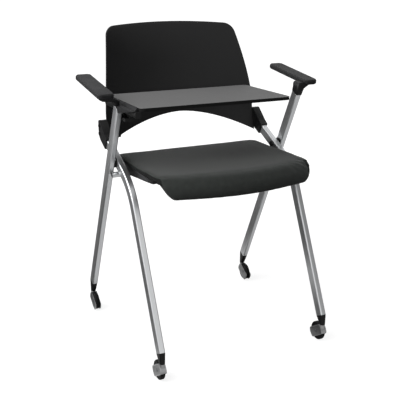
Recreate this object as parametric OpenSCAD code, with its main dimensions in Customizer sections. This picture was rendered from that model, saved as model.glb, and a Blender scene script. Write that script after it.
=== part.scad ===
// Nesting chair on four casters: crossed steel side frames, tip-up seat, moulded back
// shell, armrests, and a writing tablet on the left arm that folds up.
// Millimetres. Origin on the floor, midway between the caster stems. X right, Y back, Z up.

/* [Side frames] */
// Distance between the front and the rear caster stems
wheelbase = 460; // [430:1:500]
// Width over the outer faces of the rear legs
frame_w = 502; // [480:1:540]
// Width of the leg tube, across the chair
tube_w = 15; // [13:0.5:18]
// Depth of the leg tube, in the plane of the side frame
tube_d = 25; // [22:0.5:28]
// Wall of the leg tube
tube_wall = 1.5; // [1:0.1:2.5]
// Corner radius of the leg tube
tube_r = 3; // [2:0.1:4]
// Gap between the two legs where they cross
cross_gap = 4; // [3:0.5:6]
// Height of the lower end of the rear leg
rear_leg_z = 82; // [78:1:88]
// Length of the rear leg, from its lower end to the armrest
rear_leg_len = 598; // [585:1:615]
// Height of the lower end of the front leg
front_leg_z = 72; // [68:1:78]
// Height of the corner that the front leg bends round
bend_z = 429; // [420:1:436]
// Distance of that corner in front of the origin
bend_y = 56.8; // [50:0.1:64]
// Angle of the bend, in degrees
bend_angle = 38.612; // [36:0.001:41]
// Bend radius of the front leg, at its centreline
bend_r = 150; // [120:1:170]
// Length of the back support, from that corner to its end
support_len = 206; // [195:1:215]
// Distance along the back support, from the corner to the crossing of the legs
cross_along = 98.6; // [92:0.1:105]
// Diameter of the cross rail that the seat turns on
rail_d = 14; // [12:0.5:15]

/* [Casters] */
// Wheel diameter
wheel_d = 48; // [44:1:54]
// Tread width
tyre_w = 12; // [10:0.5:14]
// Distance that the wheel trails behind its stem
trail = 17; // [14:1:20]
// Stem diameter
stem_d = 8; // [7:0.5:9]
// Thickness of the hood's cheeks and front wall
hood_t = 1.4; // [1.2:0.1:1.8]
// Height of the belt that the hood forms round the wheel
hood_belt = 27; // [22:1:32]
// Upward tilt of that belt towards the stem, in degrees
hood_tilt = 33; // [25:1:40]
// Axle diameter
axle_d = 5; // [4:0.5:6]

/* [Seat] */
// Height of the pan's flat underside over the axis of the cross rail
seat_over_rail = 9.95; // [9.5:0.05:12]
// Width of the cushion at its back
seat_w_back = 416; // [400:1:420]
// Width of the cushion at its front
seat_w_front = 404; // [390:1:404]
// Distance of the seat's back edge behind the axis of the cross rail
seat_behind_rail = 86.8; // [75:0.1:90]
// Length of the flat of the seat, before it rolls over at the front
seat_flat = 250; // [240:1:256]
// Bow of the seat's front edge, at its middle
seat_bow = 44; // [30:1:48]
// Thickness of the cushion at its edge
cushion_t = 21; // [18:1:25]
// Rise of the crown over the edge
cushion_crown = 3.5; // [2:0.5:6]
// Inner radius of the roll at the front edge
roll_r = 22; // [18:1:26]
// Angle of the roll at the front edge, in degrees
roll_angle = 106; // [95:1:115]
// Thickness of the moulded pan
pan_t = 3; // [2.5:0.1:4]
// Inset of the pan from the cushion's sides
pan_inset = 14; // [10:1:20]
// Width of each hinge clip, along the rail
clip_w = 30; // [24:1:36]

/* [Back] */
// Width of the shell at its top
back_w_top = 368; // [350:1:376]
// Width of the shell at its bottom
back_w_low = 428; // [420:1:428]
// Rise from the end of the back supports to the middle of the top edge
back_rise = 271.1; // [254:0.1:284]
// Rise from there to where the side edges turn from the wings into the back
side_low_rise = 52.1; // [45:0.1:59]
// Rise from there to the middle of the arch in the bottom edge
arch_rise = 38.1; // [29:0.1:43]
// Fall of the arch from its middle to the shell's lower corners
arch_fall = 62; // [54:1:68]
// Drop of the top edge from its middle to its corners
top_drop = 7; // [3:1:12]
// Thickness of the shell
shell_t = 5; // [4:0.5:7]
// Hollow of the shell between its sides
back_hollow = 21; // [16:1:26]
// Distance that the side edges lean back over the shell's height
back_recline = 66; // [56:1:72]
// Length of back support inside each sleeve
sleeve_grip = 40; // [34:1:46]
// Wall of the sleeve round the tube
sleeve_wall = 2.5; // [2:0.5:3.5]

/* [Armrests] */
// Length of the arm pad
pad_len = 184; // [170:1:200]
// Width of the arm pad
pad_w = 40; // [36:1:44]
// Thickness of the arm pad
pad_t = 13; // [11:0.5:15]
// Slope of the arm pad, in degrees
pad_slope = 8; // [5:0.5:11]
// Gap from the plane of the leg's outer face out to the pad's inner edge
pad_out = 5; // [2:1:9]

/* [Tablet] */
// Width of the writing tablet
tablet_w = 391; // [376:1:396]
// Depth of the writing tablet
tablet_depth = 225; // [215:1:230]
// Thickness of the writing tablet
tablet_t = 8; // [7:0.5:9]
// Corner radius of the writing tablet
tablet_r = 12; // [8:1:20]
// Rise of the writing tablet's top over the upper end of the rear leg
tablet_rise = 7.6; // [5.6:0.1:9.6]
// Radius of the tablet hinge
hub_r = 15.5; // [14:0.5:15.5]
// Diameter of the hinge pin
pin_d = 6; // [5:0.5:6]

/* [Hidden] */

// Fineness of round faces, and of the children of a hull
$fn = 64;
fn_hull = 32;
// Overrun of a cut, and running clearances of shafts and slip-in pieces
cut = 1;
run = 0.08;
slip = 0.15;
// Gap between soft or curved faces of neighbouring pieces
near = 0.3;

// Colours
c_tube = "#c9cacc";
c_black = "#1b1b1c";
c_pad = "#4b4b4c";
c_seat = "#3e4140";
c_tablet = "#6c6c6e";
c_steel = "#b4b6b9";
c_hood = "#8c8e90";

// Side frame: planes and lines. A point of the side view is [y, z].
outer_x = (frame_w - tube_w) / 2;
inner_x = outer_x - tube_w - cross_gap;
gap_x = outer_x - tube_w / 2 - cross_gap;
stem_y = wheelbase / 2;
front_leg_in = 7.5;
rear_leg_in = 9.5;
rear_foot = [stem_y - rear_leg_in, rear_leg_z];
front_foot = [-stem_y + front_leg_in, front_leg_z];
corner = [-bend_y, bend_z];
front_lean = atan2(corner[0] - front_foot[0], corner[1] - front_foot[1]);
front_dir = [sin(front_lean), cos(front_lean)];
support_slope = 90 - front_lean - bend_angle;
support_dir = [cos(support_slope), sin(support_slope)];
support_end = corner + support_dir * support_len;
bend_run = bend_r * tan(bend_angle / 2);
bend_start = corner - front_dir * bend_run;
bend_end = corner + support_dir * bend_run;
bend_centre = bend_start + [front_dir[1], -front_dir[0]] * bend_r;

// Crossing of the two centrelines, and the rail on the front face of the rear leg below it
crossing = corner + support_dir * cross_along;
rear_lean = atan2(rear_foot[0] - crossing[0], crossing[1] - rear_foot[1]);
rear_dir = [-sin(rear_lean), cos(rear_lean)];
rear_top = rear_foot + rear_dir * rear_leg_len;
weld_gap = 0.1;
rail_off = (tube_d + rail_d) / 2 + weld_gap;
under_support = [support_dir[1], -support_dir[0]];
before_leg = [-rear_dir[1], rear_dir[0]];
rail_below = 26;
rail_pos = crossing + rail_off * before_leg - rail_below * rear_dir;

// Crossing bolts
bolt_d = 8;
bolt_head_d = 14;
bolt_head_t = 4;
nut_d = 11;
nut_len = 10;
nut_flange_t = 1;
spacer_d = 30;

// Casters
wheel_r = wheel_d / 2;
axle_r = axle_d / 2;
stem_r = stem_d / 2;
tyre_t = 7;
tread_round = 3;
hub_groove = 3;
hub_boss_r = 6;
hood_gap = 0.6;
hood_in_w = tyre_w + 2 * hood_gap;
hood_w = hood_in_w + 2 * hood_t;
hood_room = 0.7;
hood_in_r = wheel_r + hood_room;
hood_r = hood_in_r + hood_t;
boss_r = 6.5;
boss_top = 47.9;
boss_below_stem = 2;
foot_gap = 0.5;
plug_foot_z = boss_top + foot_gap;
plug_foot_r = 7;
plug_foot_t = 2;
plug_inset = 0.4;
plug_spigot = 20;
stem_in_plug = 14.5;
stem_top = plug_foot_z + stem_in_plug;
stem_low = 40;
socket_room = 0.5;
axle_head_r = 4;
axle_head_t = 0.8;

// Seat
seat_z = rail_pos[1] + seat_over_rail;
seat_back_y = rail_pos[0] + seat_behind_rail;
cushion_z = seat_z + pan_t;
cushion_gap = near;
roll_y = seat_back_y - seat_flat;
roll_z = cushion_z - roll_r;
cushion_mid_r = roll_r + cushion_t / 2;
cushion_len = seat_flat + cushion_mid_r * roll_angle * PI / 180;
seat_taper_from = 150;
back_corner = [30, 28];
front_corner = [36, 66];
corner_steps = 6;
side_steps = 9;
front_steps = 10;
back_steps = 8;
pan_back_inset = 8;
pan_lip_gap = 2.2;
pan_lip_angle = 88;
pan_corner_r = 30;
pan_rib_t = 3;
pan_rib_h = 8;
pan_rib_x = [-120, -50, 50, 120];
pan_rib_end = 8;
rib_room = 24;
clip_x = 165;
clip_wall = 6;
clip_plate_t = 4;
clip_plate_len = 56;
clip_screw_reach = 22;
stop_x = 135;
stop_w = 14;
stop_t = 8;
stop_reach = 48;
stop_rise = 1;
stop_top = rail_pos[1] + stop_rise;
bumper_d = 12;
bumper_from_end = 8;

// Small fasteners
small_screw_d = 5;
screw_head_d = 9;
screw_head_t = 2.2;

// Back shell, by height share from the lower corners to the top corners
back_top_z = support_end[1] + back_rise;
side_low_z = support_end[1] + side_low_rise;
arch_z = support_end[1] + arch_rise;
side_low_behind = 16.4;
side_low_y = support_end[0] + side_low_behind;
side_top_below = 14;
side_top_z = back_top_z - side_top_below;
wing_forward = 16;
arch_power = 1.75;
width_power = 1.35;
recline_power = 1.6;
wing_power = 1.8;
back_corner_r = 13;
shell_cols = 36;
shell_rows = 14;

// Sleeves. Their outline rises from the heel, the lower corner at the end of the support.
sleeve_w = tube_w + 2 * sleeve_wall;
sleeve_rise = 36.1;
sleeve_top_z = support_end[1] + sleeve_rise;
sleeve_behind = 1;
sleeve_before = 15;
sleeve_heel_rise = [8, 22];
sleeve_heel_in = 3;
sleeve_corner = 4;
sleeve_waist = [[14, 10], [27, 22]];
back_screw_in = 9;
back_screw_below = [14, 34];

// Armrests
pad_round = 11;
pad_edge = 3;
pad_top_share = 0.8;
pad_before_leg = 18.2;
pad_front_y = rear_top[0] - pad_before_leg;
pad_rise = 32;
neck_spigot = 22;
neck_collar = 3;
neck_foot = [26, 30];
neck_foot_inset = 3;
neck_foot_t = 2;
neck_foot_x = -(pad_w - neck_foot[0]) / 2 + neck_foot_inset;
arm_screw_back = 20;
arm_screw_bite = 7;
arm_screw_wall = 5;

// Tablet
hub_in = 16.5;
hub_below = 15.5;
hub_x = -(outer_x - tube_w / 2 - hub_in);
tablet_z = rear_top[1] + tablet_rise;
hub_z = tablet_z - hub_below;
hub_overhang = 4.6;
tablet_left = hub_x - hub_overhang;
tablet_under = tablet_z - tablet_t;
tablet_before_leg = 92.2;
tablet_front_y = rear_top[0] - tablet_before_leg;
carrier_t = 2.5;
cheek_w = 12;
knuckle_w = 23;
knuckle_gap = 0.5;
hub_before_leg = 10.2;
hub_mid_y = rear_top[0] - hub_before_leg;
barrel_r = 6.5;
hub_cap_t = 3.5;
hub_cap_inset = 2;
hub_cap_r = hub_r - hub_cap_inset;
hub_cap_ring = 3;
flank_in = 2;
flank_drop = 7;
flank_end = 6;
plate_w = 75;
plate_front = 45;
plate_back = 70;
plate_in = 2;
tablet_screw_x = [26, 60];
tablet_screw_y = [-38, 58];
tablet_screw_d = 4;
tablet_screw_bite = 5;
bracket_t = 5;
bracket_w = 24;
bracket_len = 48;
bracket_down = 44;
bracket_mid = rear_top - rear_dir * (rear_top[1] - (hub_z - bracket_down)) / rear_dir[1];
bracket_screw_reach = 13;
bracket_screw_pos = [for (d = [-1, 1]) bracket_mid + rear_dir * d * bracket_screw_reach];
foot_room = 2;
foot_top = hub_z - hub_r - foot_room;
foot_t = 8;
web_left = 5;
web_right = 7;

// Outlines

module box2(w, d, r) {
    square([w - 2 * r, d], center = true);
    square([w, d - 2 * r], center = true);
    for (sx = [-1, 1], sy = [-1, 1])
        translate([sx * (w / 2 - r), sy * (d / 2 - r)])
            circle(r);
}

module tube_section() {
    box2(tube_w, tube_d, tube_r);
}

module tube_hollow() {
    box2(tube_w - 2 * tube_wall, tube_d - 2 * tube_wall, tube_r - tube_wall);
}

// Puts a side view, drawn with y to the right and z up, in the plane x
module side(x) {
    translate([x, 0, 0])
        rotate([90, 0, 90])
            children();
}

// Side view extruded to the width w, centred on the plane x
module slab(x, w) {
    side(x)
        translate([0, 0, -w / 2])
            linear_extrude(w)
                children();
}

// Cylinder along X, from x0 to x1, at the side view point p
module rod_x(p, x0, x1, r) {
    translate([x0, p[0], p[1]])
        rotate([0, 90, 0])
            cylinder(h = x1 - x0, r = r);
}

// Straight prism of the given section from the side view point p, leaning back to front
module run_from(x, p, lean, len) {
    translate([x, p[0], p[1]])
        rotate([lean, 0, 0])
            linear_extrude(len)
                children();
}

// Frame

module rear_leg(x) {
    color(c_tube)
        difference() {
            run_from(x, rear_foot, rear_lean, rear_leg_len)
                tube_section();
            translate([x, rear_foot[0], rear_foot[1]])
                rotate([rear_lean, 0, 0])
                    translate([0, 0, -cut])
                        linear_extrude(rear_leg_len + 2 * cut)
                            tube_hollow();
            rod_x(crossing, x - sign(x) * tube_w / 2 - cut - tube_wall,
                x - sign(x) * tube_w / 2 + cut + tube_wall, nut_d / 2 + slip);
            if (x < 0)
                for (p = bracket_screw_pos)
                    rod_x(p, x + tube_w / 2 - tube_wall - cut, x + tube_w / 2 + cut,
                        small_screw_d / 2 + slip);
        }
}

// The front leg's section runs along the centreline, which is drawn round the bend's centre:
// the support goes off along +X, and the lower run, turned by bend_angle, off along -X
module front_leg_solid(x, from, to) {
    reach = bend_r + tube_d;
    lower_len = norm(bend_start - front_foot) + from;
    side(x)
        translate([bend_centre[0], bend_centre[1], 0])
            rotate([0, 0, support_slope]) {
                beside_centre(0, norm(support_end - bend_end) + to)
                    children();
                rotate([0, 0, bend_angle])
                    beside_centre(-lower_len, lower_len)
                        children();
                intersection() {
                    rotate_extrude()
                        translate([bend_r, 0])
                            rotate(90)
                                children();
                    translate([-reach, 0, -tube_w])
                        cube([reach, reach, 2 * tube_w]);
                    rotate([0, 0, bend_angle])
                        translate([0, 0, -tube_w])
                            cube([reach, reach, 2 * tube_w]);
                }
            }
}

module beside_centre(from, len) {
    translate([from, bend_r, 0])
        rotate([90, 0, 90])
            linear_extrude(len)
                rotate(90)
                    children();
}

module front_leg(x) {
    color(c_tube)
        difference() {
            front_leg_solid(x, 0, 0)
                tube_section();
            front_leg_solid(x, cut, cut)
                tube_hollow();
            rod_x(crossing, x - tube_w / 2 - cut, x + tube_w / 2 + cut, bolt_d / 2 + slip);
        }
}

module cross_rail() {
    color(c_tube)
        difference() {
            rod_x(rail_pos, -outer_x, outer_x, rail_d / 2);
            rod_x(rail_pos, -outer_x - cut, outer_x + cut, rail_d / 2 - tube_wall);
        }
}

// Finger welded to the cross rail, which the lowered seat rests on
module seat_stop(s) {
    color(c_tube)
        difference() {
            translate([s * stop_x - stop_w / 2, rail_pos[0] - stop_reach, stop_top - stop_t])
                cube([stop_w, stop_reach, stop_t]);
            rod_x(rail_pos, s * stop_x - stop_w, s * stop_x + stop_w, rail_d / 2 + slip);
        }
}

module crossing_spacers() {
    color(c_black)
        for (s = [-1, 1])
            difference() {
                rod_x(crossing, s * (gap_x + cross_gap / 2) - cross_gap / 2,
                    s * (gap_x + cross_gap / 2) + cross_gap / 2, spacer_d / 2);
                rod_x(crossing, s * (gap_x + cross_gap / 2) - cross_gap / 2 - cut,
                    s * (gap_x + cross_gap / 2) + cross_gap / 2 + cut, nut_d / 2 + slip);
            }
}

// Drawn for the right side, and mirrored for the left
module both_sides() {
    children();
    mirror([1, 0, 0])
        children();
}

module crossing_bolts() {
    head_x = inner_x - tube_w / 2;
    color(c_steel)
        both_sides()
            union() {
                rod_x(crossing, head_x - bolt_head_t, head_x, bolt_head_d / 2);
                rod_x(crossing, head_x, gap_x + cross_gap + nut_len - cut, bolt_d / 2 - slip);
            }
}

module crossing_rivet_nuts() {
    face_x = gap_x + cross_gap;
    color(c_steel)
        both_sides()
            difference() {
                rod_x(crossing, face_x - nut_flange_t, face_x + nut_len, nut_d / 2);
                rod_x(crossing, face_x - nut_flange_t - cut, face_x + nut_len + cut, bolt_d / 2);
            }
}

// Casters. A caster is drawn at its stem, trailing towards +Y, and turned to its place.

module at_caster(sx, sy) {
    leg_x = sy < 0 ? inner_x : outer_x;
    translate([sx * leg_x, sy * stem_y, 0])
        mirror([0, sy > 0 ? 1 : 0, 0])
            children();
}

// Wheel shapes lie round the axle
module at_wheel() {
    translate([0, trail, wheel_r])
        rotate([0, 90, 0])
            children();
}

module leg_plug(sx, sy) {
    foot = sy < 0 ? front_foot : rear_foot;
    lean = sy < 0 ? -front_lean : rear_lean;
    leg_x = sx * (sy < 0 ? inner_x : outer_x);
    color(c_black)
        difference() {
            union() {
                hull() {
                    translate([leg_x, foot[0], foot[1]])
                        rotate([lean, 0, 0])
                            translate([0, 0, -plug_foot_t])
                                linear_extrude(plug_foot_t)
                                    box2(tube_w - plug_inset, tube_d - plug_inset, tube_r,
                                        $fn = fn_hull);
                    translate([leg_x, sy * stem_y, plug_foot_z])
                        cylinder(h = plug_foot_t, r = plug_foot_r, $fn = fn_hull);
                }
                translate([leg_x, foot[0], foot[1]])
                    rotate([lean, 0, 0])
                        linear_extrude(plug_spigot)
                            box2(tube_w - 2 * tube_wall - 2 * slip,
                                tube_d - 2 * tube_wall - 2 * slip, tube_r - tube_wall);
            }
            translate([leg_x, sy * stem_y, plug_foot_z - cut])
                cylinder(h = stem_top + socket_room - plug_foot_z + cut, r = stem_r + run);
        }
}

module caster_stem(sx, sy) {
    color(c_steel)
        at_caster(sx, sy)
            difference() {
                translate([0, 0, stem_low])
                    cylinder(h = stem_top - stem_low, r = stem_r);
                translate([0, trail, wheel_r])
                    slab(0, hood_w)
                        circle(hood_in_r);
            }
}

module caster_hood(sx, sy) {
    color(c_hood)
        at_caster(sx, sy)
            difference() {
                union() {
                    translate([0, trail, wheel_r])
                        slab(0, hood_w)
                            intersection() {
                                circle(hood_r);
                                rotate(-hood_tilt)
                                    square([2 * hood_r + cut, hood_belt], center = true);
                            }
                    translate([0, 0, stem_low - boss_below_stem])
                        cylinder(h = boss_top - stem_low + boss_below_stem, r = boss_r);
                }
                translate([0, trail, wheel_r])
                    slab(0, hood_in_w) {
                        circle(hood_in_r);
                        rotate(-hood_tilt)
                            translate([0, -hood_r])
                                square([hood_r + cut, 2 * hood_r]);
                    }
                translate([0, 0, stem_low - cut])
                    cylinder(h = boss_top - stem_low + 2 * cut, r = stem_r + run / 2);
                translate([-hood_w, trail, wheel_r])
                    rotate([0, 90, 0])
                        cylinder(h = 2 * hood_w, r = axle_r + run / 2);
            }
}

module caster_axle(sx, sy) {
    color(c_steel)
        at_caster(sx, sy)
            at_wheel()
                union() {
                    translate([0, 0, -hood_w / 2])
                        cylinder(h = hood_w, r = axle_r);
                    for (s = [-1, 1])
                        translate([0, 0, s * (hood_w + axle_head_t) / 2])
                            cylinder(h = axle_head_t, r = axle_head_r, center = true);
                }
}

module wheel_hub(sx, sy) {
    rim_r = wheel_r - tyre_t;
    half = tyre_w / 2;
    color(c_pad)
        at_caster(sx, sy)
            at_wheel()
                rotate_extrude()
                    polygon([
                        [axle_r + run, -half],
                        [hub_boss_r, -half],
                        [hub_boss_r, -half + hub_groove],
                        [rim_r - hub_groove, -half + hub_groove],
                        [rim_r - hub_groove, -half + slip],
                        [rim_r, -half + slip],
                        [rim_r, half - slip],
                        [rim_r - hub_groove, half - slip],
                        [rim_r - hub_groove, half - hub_groove],
                        [hub_boss_r, half - hub_groove],
                        [hub_boss_r, half],
                        [axle_r + run, half]
                    ]);
}

module tyre(sx, sy) {
    rim_r = wheel_r - tyre_t;
    color(c_black)
        at_caster(sx, sy)
            at_wheel()
                rotate_extrude() {
                    translate([rim_r + slip / 2, -tyre_w / 2])
                        square([tyre_t - tread_round - slip / 2, tyre_w]);
                    translate([rim_r + slip / 2, -tyre_w / 2 + tread_round])
                        square([tyre_t - slip / 2, tyre_w - 2 * tread_round]);
                    for (s = [-1, 1])
                        translate([wheel_r - tread_round, s * (tyre_w / 2 - tread_round)])
                            circle(tread_round);
                }
}

// Seat. The cushion is a flat pad in [x, s, h], with s running forward from the back edge.
// It is rolled over at the front, and its front edge is bowed forward.

function seat_half(s) =
    let (t = max(0, min(1, (s - seat_taper_from) / (seat_flat - seat_taper_from))))
    (seat_w_back + (seat_w_front - seat_w_back) * t * t * (3 - 2 * t)) / 2;

function bowed(x, s) =
    let (u = x / seat_half(s))
    seat_bow * (1 - u * u) * s / cushion_len;

function rolled(x, s, h) =
    s <= seat_flat
    ? [x, seat_back_y - s - bowed(x, s), cushion_z + h]
    : let (a = (s - seat_flat) / cushion_mid_r * 180 / PI, r = roll_r + h)
        [x, roll_y - r * sin(a) - bowed(x, s), roll_z + r * cos(a)];

// Outline of the flat pad, as [share of the half width, offset, s]
function corner_arc(side, c, s, a0) = [
    for (i = [0:corner_steps])
        let (a = a0 + 90 * i / corner_steps)
        [side, c[0] * (cos(a) - side), s + c[1] * sin(a)]
];

function edge(side, s, from, to, steps) = [
    for (i = [1:steps - 1])
        let (t = from + (to - from) * i / steps)
        side == 0 ? [t, -t * s[1], s[0]] : [side, 0, t]
];

front_s = cushion_len - front_corner[1];
cushion_outline = concat(
    corner_arc(1, front_corner, front_s, 0),
    edge(0, [cushion_len, front_corner[0]], 1, -1, front_steps),
    corner_arc(-1, front_corner, front_s, 90),
    edge(-1, 0, front_s, back_corner[1], side_steps),
    corner_arc(-1, back_corner, back_corner[1], 180),
    edge(0, [0, back_corner[0]], -1, 1, back_steps),
    corner_arc(1, back_corner, back_corner[1], 270),
    edge(1, 0, back_corner[1], front_s, side_steps)
);

function cushion_ring(share, inset, h) = [
    for (p = cushion_outline)
        let (
            s = cushion_len / 2 + share * (p[2] - cushion_len / 2) * (1 - 2 * inset / cushion_len),
            half = seat_half(p[2])
        )
        rolled(share * (p[0] * half + p[1]) * (1 - inset / half), s, h)
];

// Rings from the middle of the underside, round the rolled edge, to the middle of the top.
// Shares of the outline, insets from it as shares of the thickness, and heights as shares.
under_shares = [0.3, 0.6, 0.68, 0.76, 0.84, 0.92];
edge_insets = [0.6, 0.36, 0.12, 0, 0.06, 0.24];
edge_heights = [0, 0.14, 0.42, 0.7, 0.88, 0.99];
top_shares = [0.95, 0.88, 0.8, 0.72, 0.64, 0.4];

function crown(share) = cushion_t + cushion_crown * (1 - share * share);

cushion_rings = concat(
    [for (f = under_shares) cushion_ring(f, cushion_t * edge_insets[0], cushion_gap)],
    [for (k = [0:len(edge_insets) - 1])
        cushion_ring(1, cushion_t * edge_insets[k],
            cushion_gap + (cushion_t - cushion_gap) * edge_heights[k])],
    [for (f = top_shares) cushion_ring(f, cushion_t * edge_insets[5], crown(f))]
);

// Closed skin over a stack of rings, with a point at each end
module ring_skin(rings, first, last) {
    n = len(rings[0]);
    m = len(rings);
    points = concat([first], [for (r = rings) each r], [last]);
    faces = concat(
        [for (i = [0:n - 1]) [0, 1 + i, 1 + (i + 1) % n]],
        [for (k = [0:m - 2], i = [0:n - 1])
            let (a = 1 + k * n + i, b = 1 + k * n + (i + 1) % n) [a, a + n, b]],
        [for (k = [0:m - 2], i = [0:n - 1])
            let (a = 1 + k * n + i, b = 1 + k * n + (i + 1) % n) [b, a + n, b + n]],
        [for (i = [0:n - 1]) [1 + (m - 1) * n + i, 1 + m * n, 1 + (m - 1) * n + (i + 1) % n]]
    );
    polyhedron(points, faces);
}

module seat_cushion() {
    color(c_seat)
        ring_skin(cushion_rings, rolled(0, cushion_len / 2, cushion_gap),
            rolled(0, cushion_len / 2, crown(0)));
}

module pan_profile(t) {
    lip_r = roll_r - pan_lip_gap;
    translate([roll_y, seat_z])
        square([seat_flat - pan_back_inset, t]);
    translate([roll_y, seat_z + t - lip_r])
        intersection() {
            difference() {
                circle(lip_r);
                circle(lip_r - t);
            }
            polygon([
                [0, 0],
                [0, 2 * lip_r],
                [-2 * lip_r, 2 * lip_r],
                [-2 * lip_r * sin(pan_lip_angle), 2 * lip_r * cos(pan_lip_angle)]
            ]);
        }
}

module seat_pan() {
    color(c_black)
        difference() {
            seat_pan_solid();
            for (s = [-1, 1], d = [-1, 1])
                translate([s * clip_x, rail_pos[0] + d * clip_screw_reach, seat_z - cut])
                    cylinder(h = pan_t + 2 * cut, r = small_screw_d / 2 + slip);
        }
}

module seat_pan_solid() {
    half_back = seat_w_back / 2 - pan_inset;
    half_front = seat_w_front / 2 - pan_inset;
    back_y = seat_back_y - pan_back_inset;
    front_y = roll_y - 2 * roll_r;
    intersection() {
        slab(0, seat_w_back)
            pan_profile(pan_t);
        translate([0, 0, roll_z - 2 * roll_r])
            linear_extrude(4 * roll_r + pan_t)
                polygon([
                    [-half_back + pan_corner_r, back_y],
                    [half_back - pan_corner_r, back_y],
                    [half_back, back_y - pan_corner_r],
                    [half_front, roll_y],
                    [half_front - pan_corner_r, front_y],
                    [-half_front + pan_corner_r, front_y],
                    [-half_front, roll_y],
                    [-half_back, back_y - pan_corner_r]
                ]);
    }
    for (x = pan_rib_x) {
        translate([x - pan_rib_t / 2, roll_y + pan_rib_end, seat_z - pan_rib_h])
            cube([pan_rib_t, rail_pos[0] - rib_room - roll_y - pan_rib_end, pan_rib_h]);
        translate([x - pan_rib_t / 2, rail_pos[0] + rib_room, seat_z - pan_rib_h])
            cube([pan_rib_t, back_y - pan_rib_end - rail_pos[0] - rib_room, pan_rib_h]);
    }
}

module seat_hinge(s) {
    r = rail_d / 2 + run;
    color(c_black)
        difference() {
            union() {
                slab(s * clip_x, clip_w)
                    intersection() {
                        union() {
                            translate(rail_pos)
                                circle(r + clip_wall);
                            translate([rail_pos[0] - r - clip_wall, rail_pos[1]])
                                square(2 * (r + clip_wall));
                        }
                        translate([rail_pos[0] - r - clip_wall, seat_z - 4 * r])
                            square([2 * (r + clip_wall), 4 * r]);
                    }
                translate([s * clip_x - clip_w / 2, rail_pos[0] - clip_plate_len / 2, seat_z - clip_plate_t])
                    cube([clip_w, clip_plate_len, clip_plate_t]);
            }
            rod_x(rail_pos, s * clip_x - clip_w, s * clip_x + clip_w, r);
            for (d = [-1, 1])
                translate([s * clip_x, rail_pos[0] + d * clip_screw_reach, seat_z - clip_plate_t - cut])
                    cylinder(h = clip_plate_t + 2 * cut, r = small_screw_d / 2 + slip);
        }
}

module seat_hinge_screws() {
    color(c_steel)
        for (s = [-1, 1], d = [-1, 1])
            translate([s * clip_x, rail_pos[0] + d * clip_screw_reach, seat_z - clip_plate_t])
                union() {
                    cylinder(h = clip_plate_t + pan_t - slip, r = small_screw_d / 2);
                    translate([0, 0, -screw_head_t])
                        cylinder(h = screw_head_t, r = screw_head_d / 2);
                }
}

module seat_bumpers() {
    color(c_black)
        for (s = [-1, 1])
            translate([s * stop_x, rail_pos[0] - stop_reach + bumper_from_end, stop_top])
                cylinder(h = seat_z - near - stop_top, r = bumper_d / 2);
}

// Back shell. Its rear face is a function of the height z and the share u of the half width.

function rise_share(z) = max(0, (z - side_low_z) / (side_top_z - side_low_z));
function fall_share(z) = max(0, (side_low_z - z) / (side_low_z - arch_z + arch_fall));

function shell_half(z) =
    (back_w_low - (back_w_low - back_w_top) * pow(rise_share(z), width_power)) / 2;

function shell_y(u, z) =
    side_low_y + back_recline * pow(rise_share(z), recline_power)
    - wing_forward * pow(fall_share(z), wing_power) + back_hollow * (1 - u * u);

function shell_bottom(u) = arch_z - arch_fall * pow(abs(u), arch_power);

function shell_top(u) =
    let (over = max(0, abs(u) * back_w_top / 2 - back_w_top / 2 + back_corner_r))
    back_top_z - top_drop * u * u - back_corner_r + sqrt(back_corner_r * back_corner_r - over * over);

function shell_point(i, j, t) =
    let (
        u = sin(90 * (2 * i / shell_cols - 1)),
        z = shell_bottom(u) + (shell_top(u) - shell_bottom(u)) * j / shell_rows
    )
    [u * shell_half(z), shell_y(u, z) + t, z];

module back_shell() {
    n = shell_cols + 1;
    m = shell_rows + 1;
    points = concat(
        [for (j = [0:shell_rows], i = [0:shell_cols]) shell_point(i, j, -shell_t)],
        [for (j = [0:shell_rows], i = [0:shell_cols]) shell_point(i, j, 0)]
    );
    back = n * m;
    function at(i, j) = j * n + i;
    faces = concat(
        [for (j = [0:shell_rows - 1], i = [0:shell_cols - 1]) each [
            [at(i, j), at(i, j + 1), at(i + 1, j)],
            [at(i + 1, j), at(i, j + 1), at(i + 1, j + 1)],
            [back + at(i, j), back + at(i + 1, j), back + at(i, j + 1)],
            [back + at(i + 1, j), back + at(i + 1, j + 1), back + at(i, j + 1)]
        ]],
        [for (i = [0:shell_cols - 1]) each [
            [at(i, 0), at(i + 1, 0), back + at(i, 0)],
            [at(i + 1, 0), back + at(i + 1, 0), back + at(i, 0)],
            [at(i, shell_rows), back + at(i, shell_rows), at(i + 1, shell_rows)],
            [at(i + 1, shell_rows), back + at(i, shell_rows), back + at(i + 1, shell_rows)]
        ]],
        [for (j = [0:shell_rows - 1]) each [
            [at(0, j), back + at(0, j), at(0, j + 1)],
            [at(0, j + 1), back + at(0, j), back + at(0, j + 1)],
            [at(shell_cols, j), at(shell_cols, j + 1), back + at(shell_cols, j)],
            [at(shell_cols, j + 1), back + at(shell_cols, j + 1), back + at(shell_cols, j)]
        ]]
    );
    color(c_black)
        polyhedron(points, faces);
}

// The sleeve grips the end of the back support and turns up beside the shell's wing
sleeve_start = support_end - support_dir * sleeve_grip;
sleeve_half = tube_d / 2 + sleeve_wall;
sleeve_low = sleeve_start + under_support * sleeve_half;
sleeve_high = sleeve_start - under_support * sleeve_half;
sleeve_back_y = side_low_y + sleeve_behind;
sleeve_front_y = side_low_y - sleeve_before;

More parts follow.
